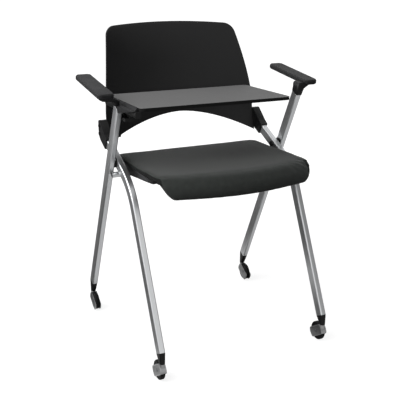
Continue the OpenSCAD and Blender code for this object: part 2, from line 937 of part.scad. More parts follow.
module sleeve_outline() {
    heel = support_end + under_support * sleeve_half;
    polygon([
        sleeve_low,
        heel,
        [sleeve_back_y - sleeve_heel_in, heel[1] + sleeve_heel_rise[0]],
        [sleeve_back_y, heel[1] + sleeve_heel_rise[1]],
        [sleeve_back_y, sleeve_top_z - sleeve_corner],
        [sleeve_back_y - sleeve_corner, sleeve_top_z],
        [sleeve_front_y + sleeve_corner, sleeve_top_z],
        [sleeve_front_y, sleeve_top_z - sleeve_corner],
        sleeve_high + sleeve_waist[1],
        sleeve_high + sleeve_waist[0],
        sleeve_high
    ]);
}

module back_sleeve(s) {
    color(c_black)
        difference() {
            slab(s * inner_x, sleeve_w)
                sleeve_outline();
            run_from(s * inner_x, sleeve_start - support_dir * cut, support_slope - 90,
                sleeve_grip + cut + slip)
                box2(tube_w + slip, tube_d + slip, tube_r);
        }
}

// Armrests. A pad is drawn with its top at z = 0 and its front end at y = 0.

module at_pad(s) {
    translate([s * (outer_x + tube_w / 2 + pad_out + pad_w / 2), pad_front_y, rear_top[1] + pad_rise])
        rotate([pad_slope, 0, 0])
            children();
}

module pad_plan(inset) {
    box2(pad_w - 2 * inset, pad_len - 2 * inset, pad_round - inset, $fn = fn_hull);
}

module arm_pad(s) {
    color(c_pad)
        difference() {
            at_pad(s)
                translate([0, pad_len / 2, 0])
                    hull() {
                        translate([0, 0, -pad_t])
                            linear_extrude(pad_t - pad_edge)
                                pad_plan(pad_edge);
                        translate([0, 0, -pad_t + pad_edge])
                            linear_extrude(pad_t - 2 * pad_edge)
                                pad_plan(0);
                        translate([0, 0, -pad_edge])
                            linear_extrude(pad_edge)
                                pad_plan(pad_edge * pad_top_share);
                    }
            at_pad(s)
                translate([s * neck_foot_x, arm_screw_back, -pad_t - cut])
                    cylinder(h = arm_screw_bite + cut + slip, r = small_screw_d / 2 + slip);
        }
}

module arm_neck(s) {
    color(c_black)
        difference() {
            union() {
                hull() {
                    run_from(s * outer_x, rear_top, rear_lean, neck_collar)
                        box2(tube_w - plug_inset, tube_d - plug_inset, tube_r, $fn = fn_hull);
                    at_pad(s)
                        translate([s * neck_foot_x, neck_foot_inset + neck_foot[1] / 2,
                            -pad_t - neck_foot_t])
                            linear_extrude(neck_foot_t)
                                box2(neck_foot[0], neck_foot[1], tube_r, $fn = fn_hull);
                }
                run_from(s * outer_x, rear_top - rear_dir * neck_spigot, rear_lean, neck_spigot)
                    box2(tube_w - 2 * tube_wall - 2 * slip,
                        tube_d - 2 * tube_wall - 2 * slip, tube_r - tube_wall);
            }
            at_pad(s) {
                translate([s * neck_foot_x, arm_screw_back, -pad_t - pad_len])
                    cylinder(h = pad_len + cut, r = small_screw_d / 2 + slip);
                translate([s * neck_foot_x, arm_screw_back, -pad_t - pad_len])
                    cylinder(h = pad_len - arm_screw_wall, r = screw_head_d / 2 + slip);
            }
        }
}

module arm_screws() {
    color(c_steel)
        for (s = [-1, 1])
            at_pad(s)
                translate([s * neck_foot_x, arm_screw_back, -pad_t - arm_screw_wall])
                    union() {
                        cylinder(h = arm_screw_wall + arm_screw_bite, r = small_screw_d / 2);
                        translate([0, 0, -screw_head_t])
                            cylinder(h = screw_head_t, r = screw_head_d / 2);
                    }
}

// Tablet. Its hinge lies along Y.

// Front view, drawn with x to the right and z up, extruded from y0 to y1
module across(y0, y1) {
    translate([0, y1, 0])
        rotate([90, 0, 0])
            linear_extrude(y1 - y0)
                children();
}

module rod_y(y0, y1, r) {
    translate([hub_x, y1, hub_z])
        rotate([90, 0, 0])
            cylinder(h = y1 - y0, r = r);
}

module tablet_holes(z, h, r) {
    for (dx = tablet_screw_x, dy = tablet_screw_y)
        translate([hub_x + dx, hub_mid_y + dy, z])
            cylinder(h = h, r = r);
}

module tablet_top() {
    color(c_tablet)
        difference() {
            translate([tablet_left + tablet_w / 2, tablet_front_y + tablet_depth / 2, tablet_under])
                linear_extrude(tablet_t)
                    box2(tablet_w, tablet_depth, tablet_r);
            tablet_holes(tablet_under - cut, tablet_screw_bite + cut + slip, tablet_screw_d / 2 + slip);
        }
}

module hub_below_tablet() {
    intersection() {
        translate([hub_x, hub_z])
            circle(hub_r);
        translate([hub_x - hub_r, tablet_under - 2 * hub_r])
            square(2 * hub_r);
    }
}

module tablet_carrier() {
    mid_front = hub_mid_y - knuckle_w / 2 - knuckle_gap;
    mid_back = hub_mid_y + knuckle_w / 2 + knuckle_gap;
    flank_front = tablet_front_y + flank_end;
    flank_back = tablet_front_y + tablet_depth - tablet_r;
    color(c_pad)
        difference() {
            union() {
                across(mid_front - cheek_w, mid_front)
                    hub_below_tablet();
                across(mid_back, mid_back + cheek_w)
                    hub_below_tablet();
                for (y = [[flank_front, mid_front], [mid_back, flank_back]])
                    across(y[0], y[1])
                        intersection() {
                            hub_below_tablet();
                            translate([hub_x - hub_r - cut, hub_z - flank_drop])
                                square([hub_r + cut - flank_in, 2 * hub_r]);
                        }
                translate([tablet_left + plate_in, hub_mid_y - plate_front, tablet_under - carrier_t])
                    cube([plate_w, plate_front + plate_back, carrier_t]);
            }
            translate([hub_x - hub_r - cut, mid_front, hub_z - hub_r - cut])
                cube([hub_r + cut + barrel_r + knuckle_gap, mid_back - mid_front,
                    tablet_under - near - hub_z + hub_r + cut]);
            rod_y(mid_front - cheek_w - hub_cap_t - slip, mid_front - cheek_w, hub_cap_r + slip);
            rod_y(mid_front - cheek_w - cut, mid_back + cheek_w + cut, pin_d / 2 + run);
            tablet_holes(tablet_under - carrier_t - cut, carrier_t + 2 * cut, tablet_screw_d / 2 + slip);
        }
}

module tablet_hub_cap() {
    face_y = hub_mid_y - knuckle_w / 2 - knuckle_gap - cheek_w;
    color(c_black)
        difference() {
            rod_y(face_y - hub_cap_t, face_y, hub_cap_r);
            rod_y(face_y - hub_cap_t - cut, face_y - hub_cap_t / 2, hub_cap_r - hub_cap_ring);
            translate([hub_x - hub_r, face_y - hub_cap_t - cut, tablet_under - carrier_t])
                cube([2 * hub_r, hub_cap_t + 2 * cut, hub_r]);
        }
}

module tablet_pin() {
    reach = knuckle_w / 2 + knuckle_gap + cheek_w;
    color(c_steel)
        rod_y(hub_mid_y - reach + knuckle_gap, hub_mid_y + reach, pin_d / 2);
}

module tablet_bracket() {
    face_x = -outer_x + tube_w / 2;
    mid_front = hub_mid_y - knuckle_w / 2;
    color(c_black)
        difference() {
            union() {
                slab(face_x + bracket_t / 2, bracket_t)
                    translate(bracket_mid)
                        rotate(rear_lean)
                            box2(bracket_w, bracket_len, tube_r);
                translate([face_x, mid_front, foot_top - foot_t])
                    cube([hub_x + web_right - face_x, bracket_mid[0] - mid_front, foot_t]);
                translate([hub_x - web_left, mid_front, foot_top - foot_t])
                    cube([web_left + web_right, knuckle_w, hub_z - foot_top + foot_t]);
                rod_y(mid_front, mid_front + knuckle_w, barrel_r);
            }
            rod_y(mid_front - cut, mid_front + knuckle_w + cut, pin_d / 2 + run);
            for (p = bracket_screw_pos)
                rod_x(p, face_x - cut, face_x + bracket_t + cut, small_screw_d / 2 + slip);
        }
}

module tablet_screws() {
    color(c_steel) {
        tablet_holes(tablet_under - carrier_t, carrier_t + tablet_screw_bite, tablet_screw_d / 2);
        tablet_holes(tablet_under - carrier_t - screw_head_t, screw_head_t, tablet_screw_d);
    }
}

module tablet_bracket_screws() {
    face_x = -outer_x + tube_w / 2 + bracket_t;
    color(c_steel)
        for (p = bracket_screw_pos)
            union() {
                rod_x(p, face_x - bracket_t - 2 * tube_wall, face_x, small_screw_d / 2);
                rod_x(p, face_x, face_x + screw_head_t, screw_head_d / 2);
            }
}

// Screws that hold the shell's wings to the sleeves
module back_screws() {
    color(c_steel)
        for (s = [-1, 1], d = back_screw_below)
            rod_x([sleeve_back_y - back_screw_in, sleeve_top_z - d],
                s > 0 ? inner_x + sleeve_w / 2 : -inner_x - sleeve_w / 2 - screw_head_t,
                s > 0 ? inner_x + sleeve_w / 2 + screw_head_t : -inner_x - sleeve_w / 2,
                screw_head_d / 2);
}

rear_leg(-outer_x);  // rear_leg_left
rear_leg(outer_x);  // rear_leg_right
front_leg(-inner_x);  // front_leg_left
front_leg(inner_x);  // front_leg_right
cross_rail();
seat_stop(-1);  // seat_stop_left
seat_stop(1);  // seat_stop_right
crossing_spacers();
crossing_bolts();
crossing_rivet_nuts();
leg_plug(-1, -1);  // leg_plug_front_left
leg_plug(1, -1);  // leg_plug_front_right
leg_plug(-1, 1);  // leg_plug_rear_left
leg_plug(1, 1);  // leg_plug_rear_right
caster_stem(-1, -1);  // caster_stem_front_left
caster_stem(1, -1);  // caster_stem_front_right
caster_stem(-1, 1);  // caster_stem_rear_left
caster_stem(1, 1);  // caster_stem_rear_right
caster_hood(-1, -1);  // caster_hood_front_left
caster_hood(1, -1);  // caster_hood_front_right
caster_hood(-1, 1);  // caster_hood_rear_left
caster_hood(1, 1);  // caster_hood_rear_right
caster_axle(-1, -1);  // caster_axle_front_left
caster_axle(1, -1);  // caster_axle_front_right
caster_axle(-1, 1);  // caster_axle_rear_left
caster_axle(1, 1);  // caster_axle_rear_right
wheel_hub(-1, -1);  // wheel_hub_front_left
wheel_hub(1, -1);  // wheel_hub_front_right
wheel_hub(-1, 1);  // wheel_hub_rear_left
wheel_hub(1, 1);  // wheel_hub_rear_right
tyre(-1, -1);  // tyre_front_left
tyre(1, -1);  // tyre_front_right
tyre(-1, 1);  // tyre_rear_left
tyre(1, 1);  // tyre_rear_right
seat_cushion();
seat_pan();
seat_hinge(-1);  // seat_hinge_left
seat_hinge(1);  // seat_hinge_right
seat_hinge_screws();
seat_bumpers();
back_shell();
back_sleeve(-1);  // back_sleeve_left
back_sleeve(1);  // back_sleeve_right
back_screws();
arm_pad(-1);  // arm_pad_left
arm_pad(1);  // arm_pad_right
arm_neck(-1);  // arm_neck_left
arm_neck(1);  // arm_neck_right
arm_screws();
tablet_top();
tablet_carrier();
tablet_hub_cap();
tablet_pin();
tablet_bracket();
tablet_screws();
tablet_bracket_screws();
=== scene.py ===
# %% [markdown]
# # A nesting chair with a writing tablet
# The chair's solids come packed from CAD, and they are loaded first, as a frame that never moves.
# Everything that follows gives them a finish, or puts a finer piece where a plain solid was.
# Lengths are metres, X is to the chair's right, Y to its back and Z up, with the floor at zero.

# %% The frame
import math

import bmesh
import bpy
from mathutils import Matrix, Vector


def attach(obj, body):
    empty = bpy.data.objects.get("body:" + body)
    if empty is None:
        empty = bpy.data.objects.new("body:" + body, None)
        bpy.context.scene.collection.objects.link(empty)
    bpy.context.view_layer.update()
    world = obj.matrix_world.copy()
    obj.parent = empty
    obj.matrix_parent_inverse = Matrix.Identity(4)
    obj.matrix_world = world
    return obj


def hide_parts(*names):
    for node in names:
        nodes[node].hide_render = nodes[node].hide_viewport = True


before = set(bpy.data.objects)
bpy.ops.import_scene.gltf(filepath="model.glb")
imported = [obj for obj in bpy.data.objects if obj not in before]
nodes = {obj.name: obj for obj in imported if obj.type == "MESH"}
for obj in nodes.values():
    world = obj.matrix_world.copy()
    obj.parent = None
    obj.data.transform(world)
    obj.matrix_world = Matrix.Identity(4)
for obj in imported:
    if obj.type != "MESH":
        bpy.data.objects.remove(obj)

for name in ("Cube", "Light", "Camera"):
    if name in bpy.data.objects:
        bpy.data.objects.remove(bpy.data.objects[name])
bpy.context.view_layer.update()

# %% [markdown]
# ## The camera
# The photograph was taken from the chair's front left, higher than its back, with a rather long
# lens. A camera could be placed by eye. This one's place was worked out from the chair's own
# straight lines instead, so that the render can be laid over the photograph.

# %% Camera
camera = bpy.data.objects.new("camera", bpy.data.cameras.new("camera"))
bpy.context.scene.collection.objects.link(camera)
camera.location = (-0.77945, -1.57417, 0.89845)
CAMERA_TILT, CAMERA_TURN = math.radians(72.682), math.radians(-25.894)
camera.rotation_euler = (CAMERA_TILT, 0, CAMERA_TURN)
camera.data.lens = 63.57
camera.data.sensor_width = 36
bpy.context.scene.camera = camera
print("camera:", [round(c, 3) for c in camera.location])

# %% [markdown]
# ## The studio
# The chair stands in a plain white studio with large soft lamps. The strongest is a wide one high
# at the left, a little behind the chair, and a smaller one hangs above its left front. What faces
# up is therefore much lighter than what faces forward. Two weak lamps, at the right and in front,
# keep the dark pieces from closing up. A picture of a real room could light the chair too, but
# lamps can be set one by one until each side of the chair has its own tone.

# %% Lamps
AIM = Vector((0, 0, 0.4))


def lamp(name, at, size, watts):
    """A soft lamp that looks at the middle of the chair."""
    data = bpy.data.lights.new(name, "AREA")
    data.shape = "RECTANGLE"
    data.size, data.size_y = size
    data.energy = watts
    o = bpy.data.objects.new(name, data)
    bpy.context.scene.collection.objects.link(o)
    o.location = at
    o.rotation_euler = (AIM - Vector(at)).to_track_quat("-Z", "Y").to_euler()


lamp("key_lamp", (-1.5, -0.7, 2.5), (1.8, 1.8), 30)
lamp("left_lamp", (-2.5, 0.7, 2.0), (3.2, 2.4), 88)
lamp("right_lamp", (2.6, 0.6, 1.9), (1.4, 2.0), 6)
lamp("front_lamp", (-1.6, -2.4, 1.3), (1.4, 1.0), 1)

# %% [markdown]
# The room itself is white. It lights the chair from above, as a ceiling does, and its full white is
# only seen by the camera and in reflections, which a Light Path node tells apart. A room that was
# white to every ray would light the chair from all sides and make it look flat.

# %% The room's light
def ray_level(tree, levels):
    """A value that is one amount for each kind of ray, and nothing for the others."""
    path = tree.nodes.new("ShaderNodeLightPath")
    total = None
    for kind, amount in levels.items():
        part = tree.nodes.new("ShaderNodeMath")
        part.operation = "MULTIPLY_ADD"
        part.inputs[1].default_value = amount
        part.inputs[2].default_value = 0
        tree.links.new(path.outputs[kind], part.inputs[0])
        if total:
            tree.links.new(total, part.inputs[2])
        total = part.outputs[0]
    return total


world = bpy.data.worlds.new("studio")
bpy.context.scene.world = world
world.use_nodes = True
tree = world.node_tree
sky = tree.nodes["Background"]
sky.inputs["Color"].default_value = (1, 1, 1, 1)
towards = tree.nodes.new("ShaderNodeTexCoord")
apart = tree.nodes.new("ShaderNodeSeparateXYZ")
dome = tree.nodes.new("ShaderNodeMapRange")
dome.inputs["From Min"].default_value = 0.1
dome.inputs["From Max"].default_value = 0.9
dome.inputs["To Min"].default_value = 0.03
dome.inputs["To Max"].default_value = 0.6
level = tree.nodes.new("ShaderNodeMix")
level.data_type = "FLOAT"
level.inputs["B"].default_value = 1
tree.links.new(towards.outputs["Generated"], apart.inputs[0])
tree.links.new(apart.outputs["Z"], dome.inputs["Value"])
tree.links.new(dome.outputs["Result"], level.inputs["A"])
rays = {"Is Camera Ray": 1, "Is Transmission Ray": 1, "Is Glossy Ray": 1}
tree.links.new(ray_level(tree, rays), level.inputs["Factor"])
tree.links.new(level.outputs["Result"], sky.inputs["Strength"])

bpy.context.scene.view_settings.view_transform = "Standard"
print("world:", world.name)

# %% [markdown]
# ## Adding a piece by hand, in code
# Blender's operators act on whatever is selected, so a script has to say each time what that is. A
# mesh could also be built from lists of points, with no operator at all, but then its steps
# couldn't be followed at the screen. These helpers select one piece, name it and move its place
# into its mesh.

# %% Picking and adding
def pick(*objects):
    """Selects these objects alone, and makes the first the active one."""
    for other in bpy.context.selected_objects:
        other.select_set(False)
    for o in objects:
        o.select_set(True)
    bpy.context.view_layer.objects.active = objects[0]


def clear():
    """Selects nothing, before a new primitive is added."""
    for other in bpy.context.selected_objects:
        other.select_set(False)


def added(name):
    """Names the primitive that was just added."""
    o = bpy.context.object
    o.name = name
    o.data.name = name
    return o


def place(o):
    """Moves the object's place, turn and size into its mesh."""
    pick(o)
    bpy.ops.object.transform_apply(location=True, rotation=True, scale=True)
    return o


print("to add a piece:", [f.__name__ for f in (pick, clear, added, place)])

# %% [markdown]
# The floor is white paper. Its own glow, which only the camera and reflections see, grows with the
# distance from the chair, so that the far edge melts into the white of the room and a faint shadow
# is left under the casters. A floor that was really white would throw light up at the chair's dark
# underside, so its paint is a mid grey.

# %% Floor
clear()
bpy.ops.mesh.primitive_plane_add(size=80, location=(0, 0, 0))
floor = added("floor")
finish = bpy.data.materials.new("floor_white")
finish.use_nodes = True
tree = finish.node_tree
paint = tree.nodes["Principled BSDF"]
paint.inputs["Base Color"].default_value = (0.28, 0.28, 0.28, 1)
paint.inputs["Roughness"].default_value = 0.9
paint.inputs["Specular IOR Level"].default_value = 0
spots = tree.nodes.new("ShaderNodeTexCoord")
far = tree.nodes.new("ShaderNodeVectorMath")
far.operation = "LENGTH"
tree.links.new(spots.outputs["Object"], far.inputs[0])
ramp = tree.nodes.new("ShaderNodeMapRange")
ramp.inputs["From Min"].default_value = 0.3
ramp.inputs["From Max"].default_value = 2.2
ramp.inputs["To Min"].default_value = 0.82
ramp.inputs["To Max"].default_value = 1.0
tree.links.new(far.outputs["Value"], ramp.inputs["Value"])
level = tree.nodes.new("ShaderNodeMath")
level.operation = "MULTIPLY"
tree.links.new(ramp.outputs["Result"], level.inputs[0])
tree.links.new(ray_level(tree, {"Is Camera Ray": 1, "Is Glossy Ray": 0.5}), level.inputs[1])
glow = tree.nodes.new("ShaderNodeEmission")
both = tree.nodes.new("ShaderNodeAddShader")
tree.links.new(level.outputs[0], glow.inputs["Strength"])
tree.links.new(paint.outputs[0], both.inputs[0])
tree.links.new(glow.outputs[0], both.inputs[1])
tree.links.new(both.outputs[0], tree.nodes["Material Output"].inputs["Surface"])
floor.data.materials.append(finish)
print("floor:", finish.name)

# %% [markdown]
# The photographed tubes have a dark side and a bright front, which is what makes them look
# polished. A photographer stands dark cards beside shiny things for this, and here there are six.
# Two stand behind the chair, and three lie on the floor: behind it at the left, beside it at the
# left, and under its right half. The last stands far out at the right, and lets the gloss of the
# back fade to the left. Only reflections see them, as a very dark grey, so they take no light away
# from the chair.

# %% Dark cards
CARD_GLOW = 0.08
finish = bpy.data.materials.new("card_black")
finish.use_nodes = True
paint = finish.node_tree.nodes["Principled BSDF"]
paint.inputs["Base Color"].default_value = (0, 0, 0, 1)
paint.inputs["Specular IOR Level"].default_value = 0
paint.inputs["Emission Color"].default_value = (1, 1, 1, 1)
paint.inputs["Emission Strength"].default_value = CARD_GLOW


def card(name, at, size, turn):
    """A flat card that is only seen in reflections. Its turn is in degrees."""
    clear()
    bpy.ops.mesh.primitive_plane_add(size=1, location=at, rotation=[math.radians(a) for a in turn])
    o = added(name)
    o.scale = (*size, 1)
    place(o)
    for ray in ("camera", "diffuse", "shadow", "transmission", "volume_scatter"):
        setattr(o, "visible_" + ray, False)
    o.data.materials.append(finish)


card("standing_card", (-0.72, 1.4, 1.0), (0.5, 2.2), (90, 0, 0))
card("low_card", (-0.2, 0.7, 0.3), (0.4, 0.6), (90, 0, 0))
card("lying_card", (-1.4, 0.82, 0.002), (3.0, 1.2), (0, 0, 0))
card("lying_card_left", (-1.59, -0.04, 0.002), (2.62, 0.52), (0, 0, 0))
card("lying_card_right", (0.15, 0, 0.002), (0.26, 0.44), (0, 0, 0))
card("side_card", (2.5, -1.3, 1.7), (3.4, 3.3), (90, 0, 68))

# %% [markdown]
# ## Effects that several finishes share
# Real surfaces are never quite even. The nodes for that could be repeated in each material, but a
# node group is built once and used by all, with other values in each. A group here gives a value or
# a height, and the material that uses it decides how strong it is. Three small helpers make a
# group, a node and its links.

# %% Groups, nodes and links
def group(name, inputs, outputs):
    """A new shader node group with float inputs and outputs."""
    made = bpy.data.node_groups.new(name, "ShaderNodeTree")
    for key, value in inputs.items():
        s = made.interface.new_socket(key, in_out="INPUT", socket_type="NodeSocketFloat")
        s.default_value = value
    for key in outputs:
        made.interface.new_socket(key, in_out="OUTPUT", socket_type="NodeSocketFloat")
    start = made.nodes.new("NodeGroupInput")
    end = made.nodes.new("NodeGroupOutput")
    return made, start, end


def node(tree, kind, settings=None, **values):
    """A node with its attributes and the values of its input sockets set."""
    n = tree.nodes.new(kind)
    for key, value in (settings or {}).items():
        setattr(n, key, value)
    for key, value in values.items():
        n.inputs[key.replace("_", " ")].default_value = value
    return n


def join(tree, *pairs):
    """Links each pair's output to its input."""
    for a, b in pairs:
        tree.links.new(a, b)


print("to build a material:", [f.__name__ for f in (group, node, join)])

# %% [markdown]
# "grain" is the fine texture of moulded plastic, which is etched into the mould. It could be an
# image, but small cells with some noise over them have no seam and no size limit.

# %% Grain
grain, start, end = group("grain", {"Scale": 900, "Depth": 1}, ["Height"])
spots = node(grain, "ShaderNodeTexCoord")
cells = node(grain, "ShaderNodeTexVoronoi", {"feature": "F1"})
fuzz = node(grain, "ShaderNodeTexNoise", Detail=3)
mixed = node(grain, "ShaderNodeMath", {"operation": "ADD"})
scaled = node(grain, "ShaderNodeMath", {"operation": "MULTIPLY"})
join(
    grain,
    (spots.outputs["Object"], cells.inputs["Vector"]),
    (spots.outputs["Object"], fuzz.inputs["Vector"]),
    (start.outputs["Scale"], cells.inputs["Scale"]),
    (start.outputs["Scale"], fuzz.inputs["Scale"]),
    (cells.outputs["Distance"], mixed.inputs[0]),
    (fuzz.outputs["Fac"], mixed.inputs[1]),
    (mixed.outputs[0], scaled.inputs[0]),
    (start.outputs["Depth"], scaled.inputs[1]),
    (scaled.outputs[0], end.inputs["Height"]),
)
print("group:", grain.name)

# %% [markdown]
# "smudge" is the slow change in gloss where hands and cloths have been. A painted mask would have
# to be made for each piece, so it is a cloud of noise, spread between two values of roughness.

# %% Smudge
smudge, start, end = group("smudge", {"Scale": 9, "Low": 0.4, "High": 0.5}, ["Value"])
spots = node(smudge, "ShaderNodeTexCoord")
cloud = node(smudge, "ShaderNodeTexNoise", Detail=4, Roughness=0.6)
spread = node(smudge, "ShaderNodeMapRange", From_Min=0.35, From_Max=0.65)
join(
    smudge,
    (spots.outputs["Object"], cloud.inputs["Vector"]),
    (start.outputs["Scale"], cloud.inputs["Scale"]),
    (cloud.outputs["Fac"], spread.inputs["Value"]),
    (start.outputs["Low"], spread.inputs["To Min"]),
    (start.outputs["High"], spread.inputs["To Max"]),
    (spread.outputs["Result"], end.inputs["Value"]),
)
print("group:", smudge.name)

# %% [markdown]
# "brushed" is the faint streaks of a polished tube. An anisotropic shader could bend its
# highlights, but the streaks themselves are wanted too, so it is noise that changes thirty times
# faster from side to side than along the legs.

# %% Brushed
brushed, start, end = group("brushed", {"Scale": 60, "Depth": 1}, ["Height"])
spots = node(brushed, "ShaderNodeTexCoord")
stretch = node(brushed, "ShaderNodeMapping", Scale=(30, 1, 1))
lines = node(brushed, "ShaderNodeTexNoise", Detail=3)
scaled = node(brushed, "ShaderNodeMath", {"operation": "MULTIPLY"})
join(
    brushed,
    (spots.outputs["Object"], stretch.inputs["Vector"]),
    (stretch.outputs["Vector"], lines.inputs["Vector"]),
    (start.outputs["Scale"], lines.inputs["Scale"]),
    (lines.outputs["Fac"], scaled.inputs[0]),
    (start.outputs["Depth"], scaled.inputs[1]),
    (scaled.outputs[0], end.inputs["Height"]),
)
print("group:", brushed.name)

# %% [markdown]
# ## The finishes
# A finish is a Principled BSDF with a plain colour, and textures that only vary it a little.
# Photographed textures could be used, but they bring their own light and seams with them. The
# colours are those that the surfaces have in even light, so the lamps decide the rest.

# %% A finish from a few words
def shared(tree, made, **values):
    """A node that uses one of the shared groups."""
    n = tree.nodes.new("ShaderNodeGroup")
    n.node_tree = made
    for key, value in values.items():
        n.inputs[key].default_value = value
    return n


def material(name, colour, rough, metal=0.0, spread=0.06, **sockets):
    """A finish whose gloss varies slowly round the given roughness."""
    m = bpy.data.materials.new(name)
    m.use_nodes = True
    m.diffuse_color = (*colour, 1)
    paint = m.node_tree.nodes["Principled BSDF"]
    paint.inputs["Base Color"].default_value = (*colour, 1)
    paint.inputs["Metallic"].default_value = metal
    for key, value in sockets.items():
        paint.inputs[key.replace("_", " ")].default_value = value
    gloss = shared(m.node_tree, smudge, Low=rough - spread, High=rough + spread)
    m.node_tree.links.new(gloss.outputs["Value"], paint.inputs["Roughness"])
    return m


def bumped(m, made, depth, **values):
    """Adds a group's height to a finish. Depth is in metres."""
    tree = m.node_tree
    source = shared(tree, made, **values)
    bump = node(tree, "ShaderNodeBump", Strength=1, Distance=depth)
    join(
        tree,
        (source.outputs["Height"], bump.inputs["Height"]),
        (bump.outputs["Normal"], tree.nodes["Principled BSDF"].inputs["Normal"]),
    )


print("to make a finish:", [f.__name__ for f in (shared, material, bumped)])

# %% [markdown]
# The tubes are polished metal with hardly any streaks. A perfect mirror would have no roughness at
# all, but it would show the hard edges of the lamps, so some is left. The caster hoods are a duller
# grey metal with a fine grain, and their rims are a brighter metal, a painted highlight where the
# rounded edges catch the light.

# %% Metals
tube_silver = material("tube_silver", (0.62, 0.63, 0.64), 0.3, metal=0.93, spread=0.02)
bumped(tube_silver, brushed, 0.000004)
screw_steel = material("screw_steel", (0.55, 0.56, 0.57), 0.3, metal=1)
screw_black = material("screw_black", (0.012, 0.012, 0.012), 0.4, metal=0.5)
# The brighter metal of the hood's rims is a painted highlight.
hood_rim_painted_highlight = material("hood_rim_painted_highlight", (0.36, 0.362, 0.365), 0.36, metal=0.8)
hood_grey = material("hood_grey", (0.23, 0.232, 0.235), 0.4, metal=0.8)
bumped(hood_grey, grain, 0.00002, Scale=1500)
print("metals:", [m.name for m in (tube_silver, screw_steel, screw_black, hood_rim_painted_highlight, hood_grey)])

# %% [markdown]
# The plastics are all near black, and differ in their gloss and in the size of their grain. The
# back shell is the glossiest. The arm pads are greyer and coarser, like rubbery foam. None of them
# is quite black, because a surface that gives back no light loses its form.

# %% Plastics and rubber
shell_black = material(
    "shell_black",
    (0.004, 0.004, 0.0042),
    0.34,
    spread=0.03,
    Specular_IOR_Level=0.25,
)
bumped(shell_black, grain, 0.00003, Scale=1400)
moulded_black = material("moulded_black", (0.006, 0.006, 0.0063), 0.42, Specular_IOR_Level=0.2)
bumped(moulded_black, grain, 0.00005, Scale=1100)
pad_grey = material("pad_grey", (0.028, 0.028, 0.029), 0.55, Specular_IOR_Level=0.06)
bumped(pad_grey, grain, 0.00012, Scale=700)
wheel_grey = material("wheel_grey", (0.012, 0.012, 0.0125), 0.5, Specular_IOR_Level=0.2)
bumped(wheel_grey, grain, 0.00005)
tyre_black = material("tyre_black", (0.004, 0.004, 0.0042), 0.6, Specular_IOR_Level=0.12)
bumped(tyre_black, grain, 0.00008, Scale=800)
print("plastics:", [m.name for m in (shell_black, moulded_black, pad_grey, wheel_grey, tyre_black)])

# %% [markdown]
# The tablet is a laminate board. Its top is mid grey with the faint speckle of a printed laminate,
# and its edge and underside are near black. Two materials on two sets of faces could do this, but
# the solid's own mesh stays untouched here. So one material holds both: a mask on the height in the
# object's own coordinates divides them, and it stays right when the tablet turns up.

# %% Laminate
BOARD_TOP, BOARD_EDGE = 0.6276, 0.016
board_grey = material(
    "board_grey",
    (0.14, 0.14, 0.145),
    0.55,
    spread=0.05,
    Specular_IOR_Level=0.015,
)
tree = board_grey.node_tree
spots = node(tree, "ShaderNodeTexCoord")
apart = node(tree, "ShaderNodeSeparateXYZ")
speckle = node(tree, "ShaderNodeTexNoise", Scale=1200, Detail=2)
shade = node(tree, "ShaderNodeMapRange", From_Min=0.3, From_Max=0.7, To_Min=0.122, To_Max=0.147)
top = node(tree, "ShaderNodeMath", {"operation": "GREATER_THAN"})
top.inputs[1].default_value = BOARD_TOP
colour = node(tree, "ShaderNodeMix", {"data_type": "FLOAT"})
colour.inputs["A"].default_value = BOARD_EDGE
whole = node(tree, "ShaderNodeCombineColor")
join(
    tree,
    (spots.outputs["Object"], apart.inputs[0]),
    (spots.outputs["Object"], speckle.inputs["Vector"]),
    (speckle.outputs["Fac"], shade.inputs["Value"]),
    (apart.outputs["Z"], top.inputs[0]),
    (top.outputs[0], colour.inputs["Factor"]),
    (shade.outputs["Result"], colour.inputs["B"]),
    (colour.outputs["Result"], whole.inputs["Red"]),
    (colour.outputs["Result"], whole.inputs["Green"]),
    (colour.outputs["Result"], whole.inputs["Blue"]),
    (whole.outputs["Color"], tree.nodes["Principled BSDF"].inputs["Base Color"]),
)
print("laminate:", board_grey.name)

# %% [markdown]
# The seat is covered in a fine woven cloth, dark with a touch of green. Its threads are too small
# to model. Two sets of bands at right angles, over and under, make the weave instead, and the same
# pattern lightens the tops of the threads. The short nap is the shader's sheen. The sides get a
# darker copy of the cloth with less sheen, which is painted shade, so the finish is a function and
# is made twice.

# %% Cloth
THREADS = {"Scale": 260, "Distortion": 0.6, "Detail": 1}


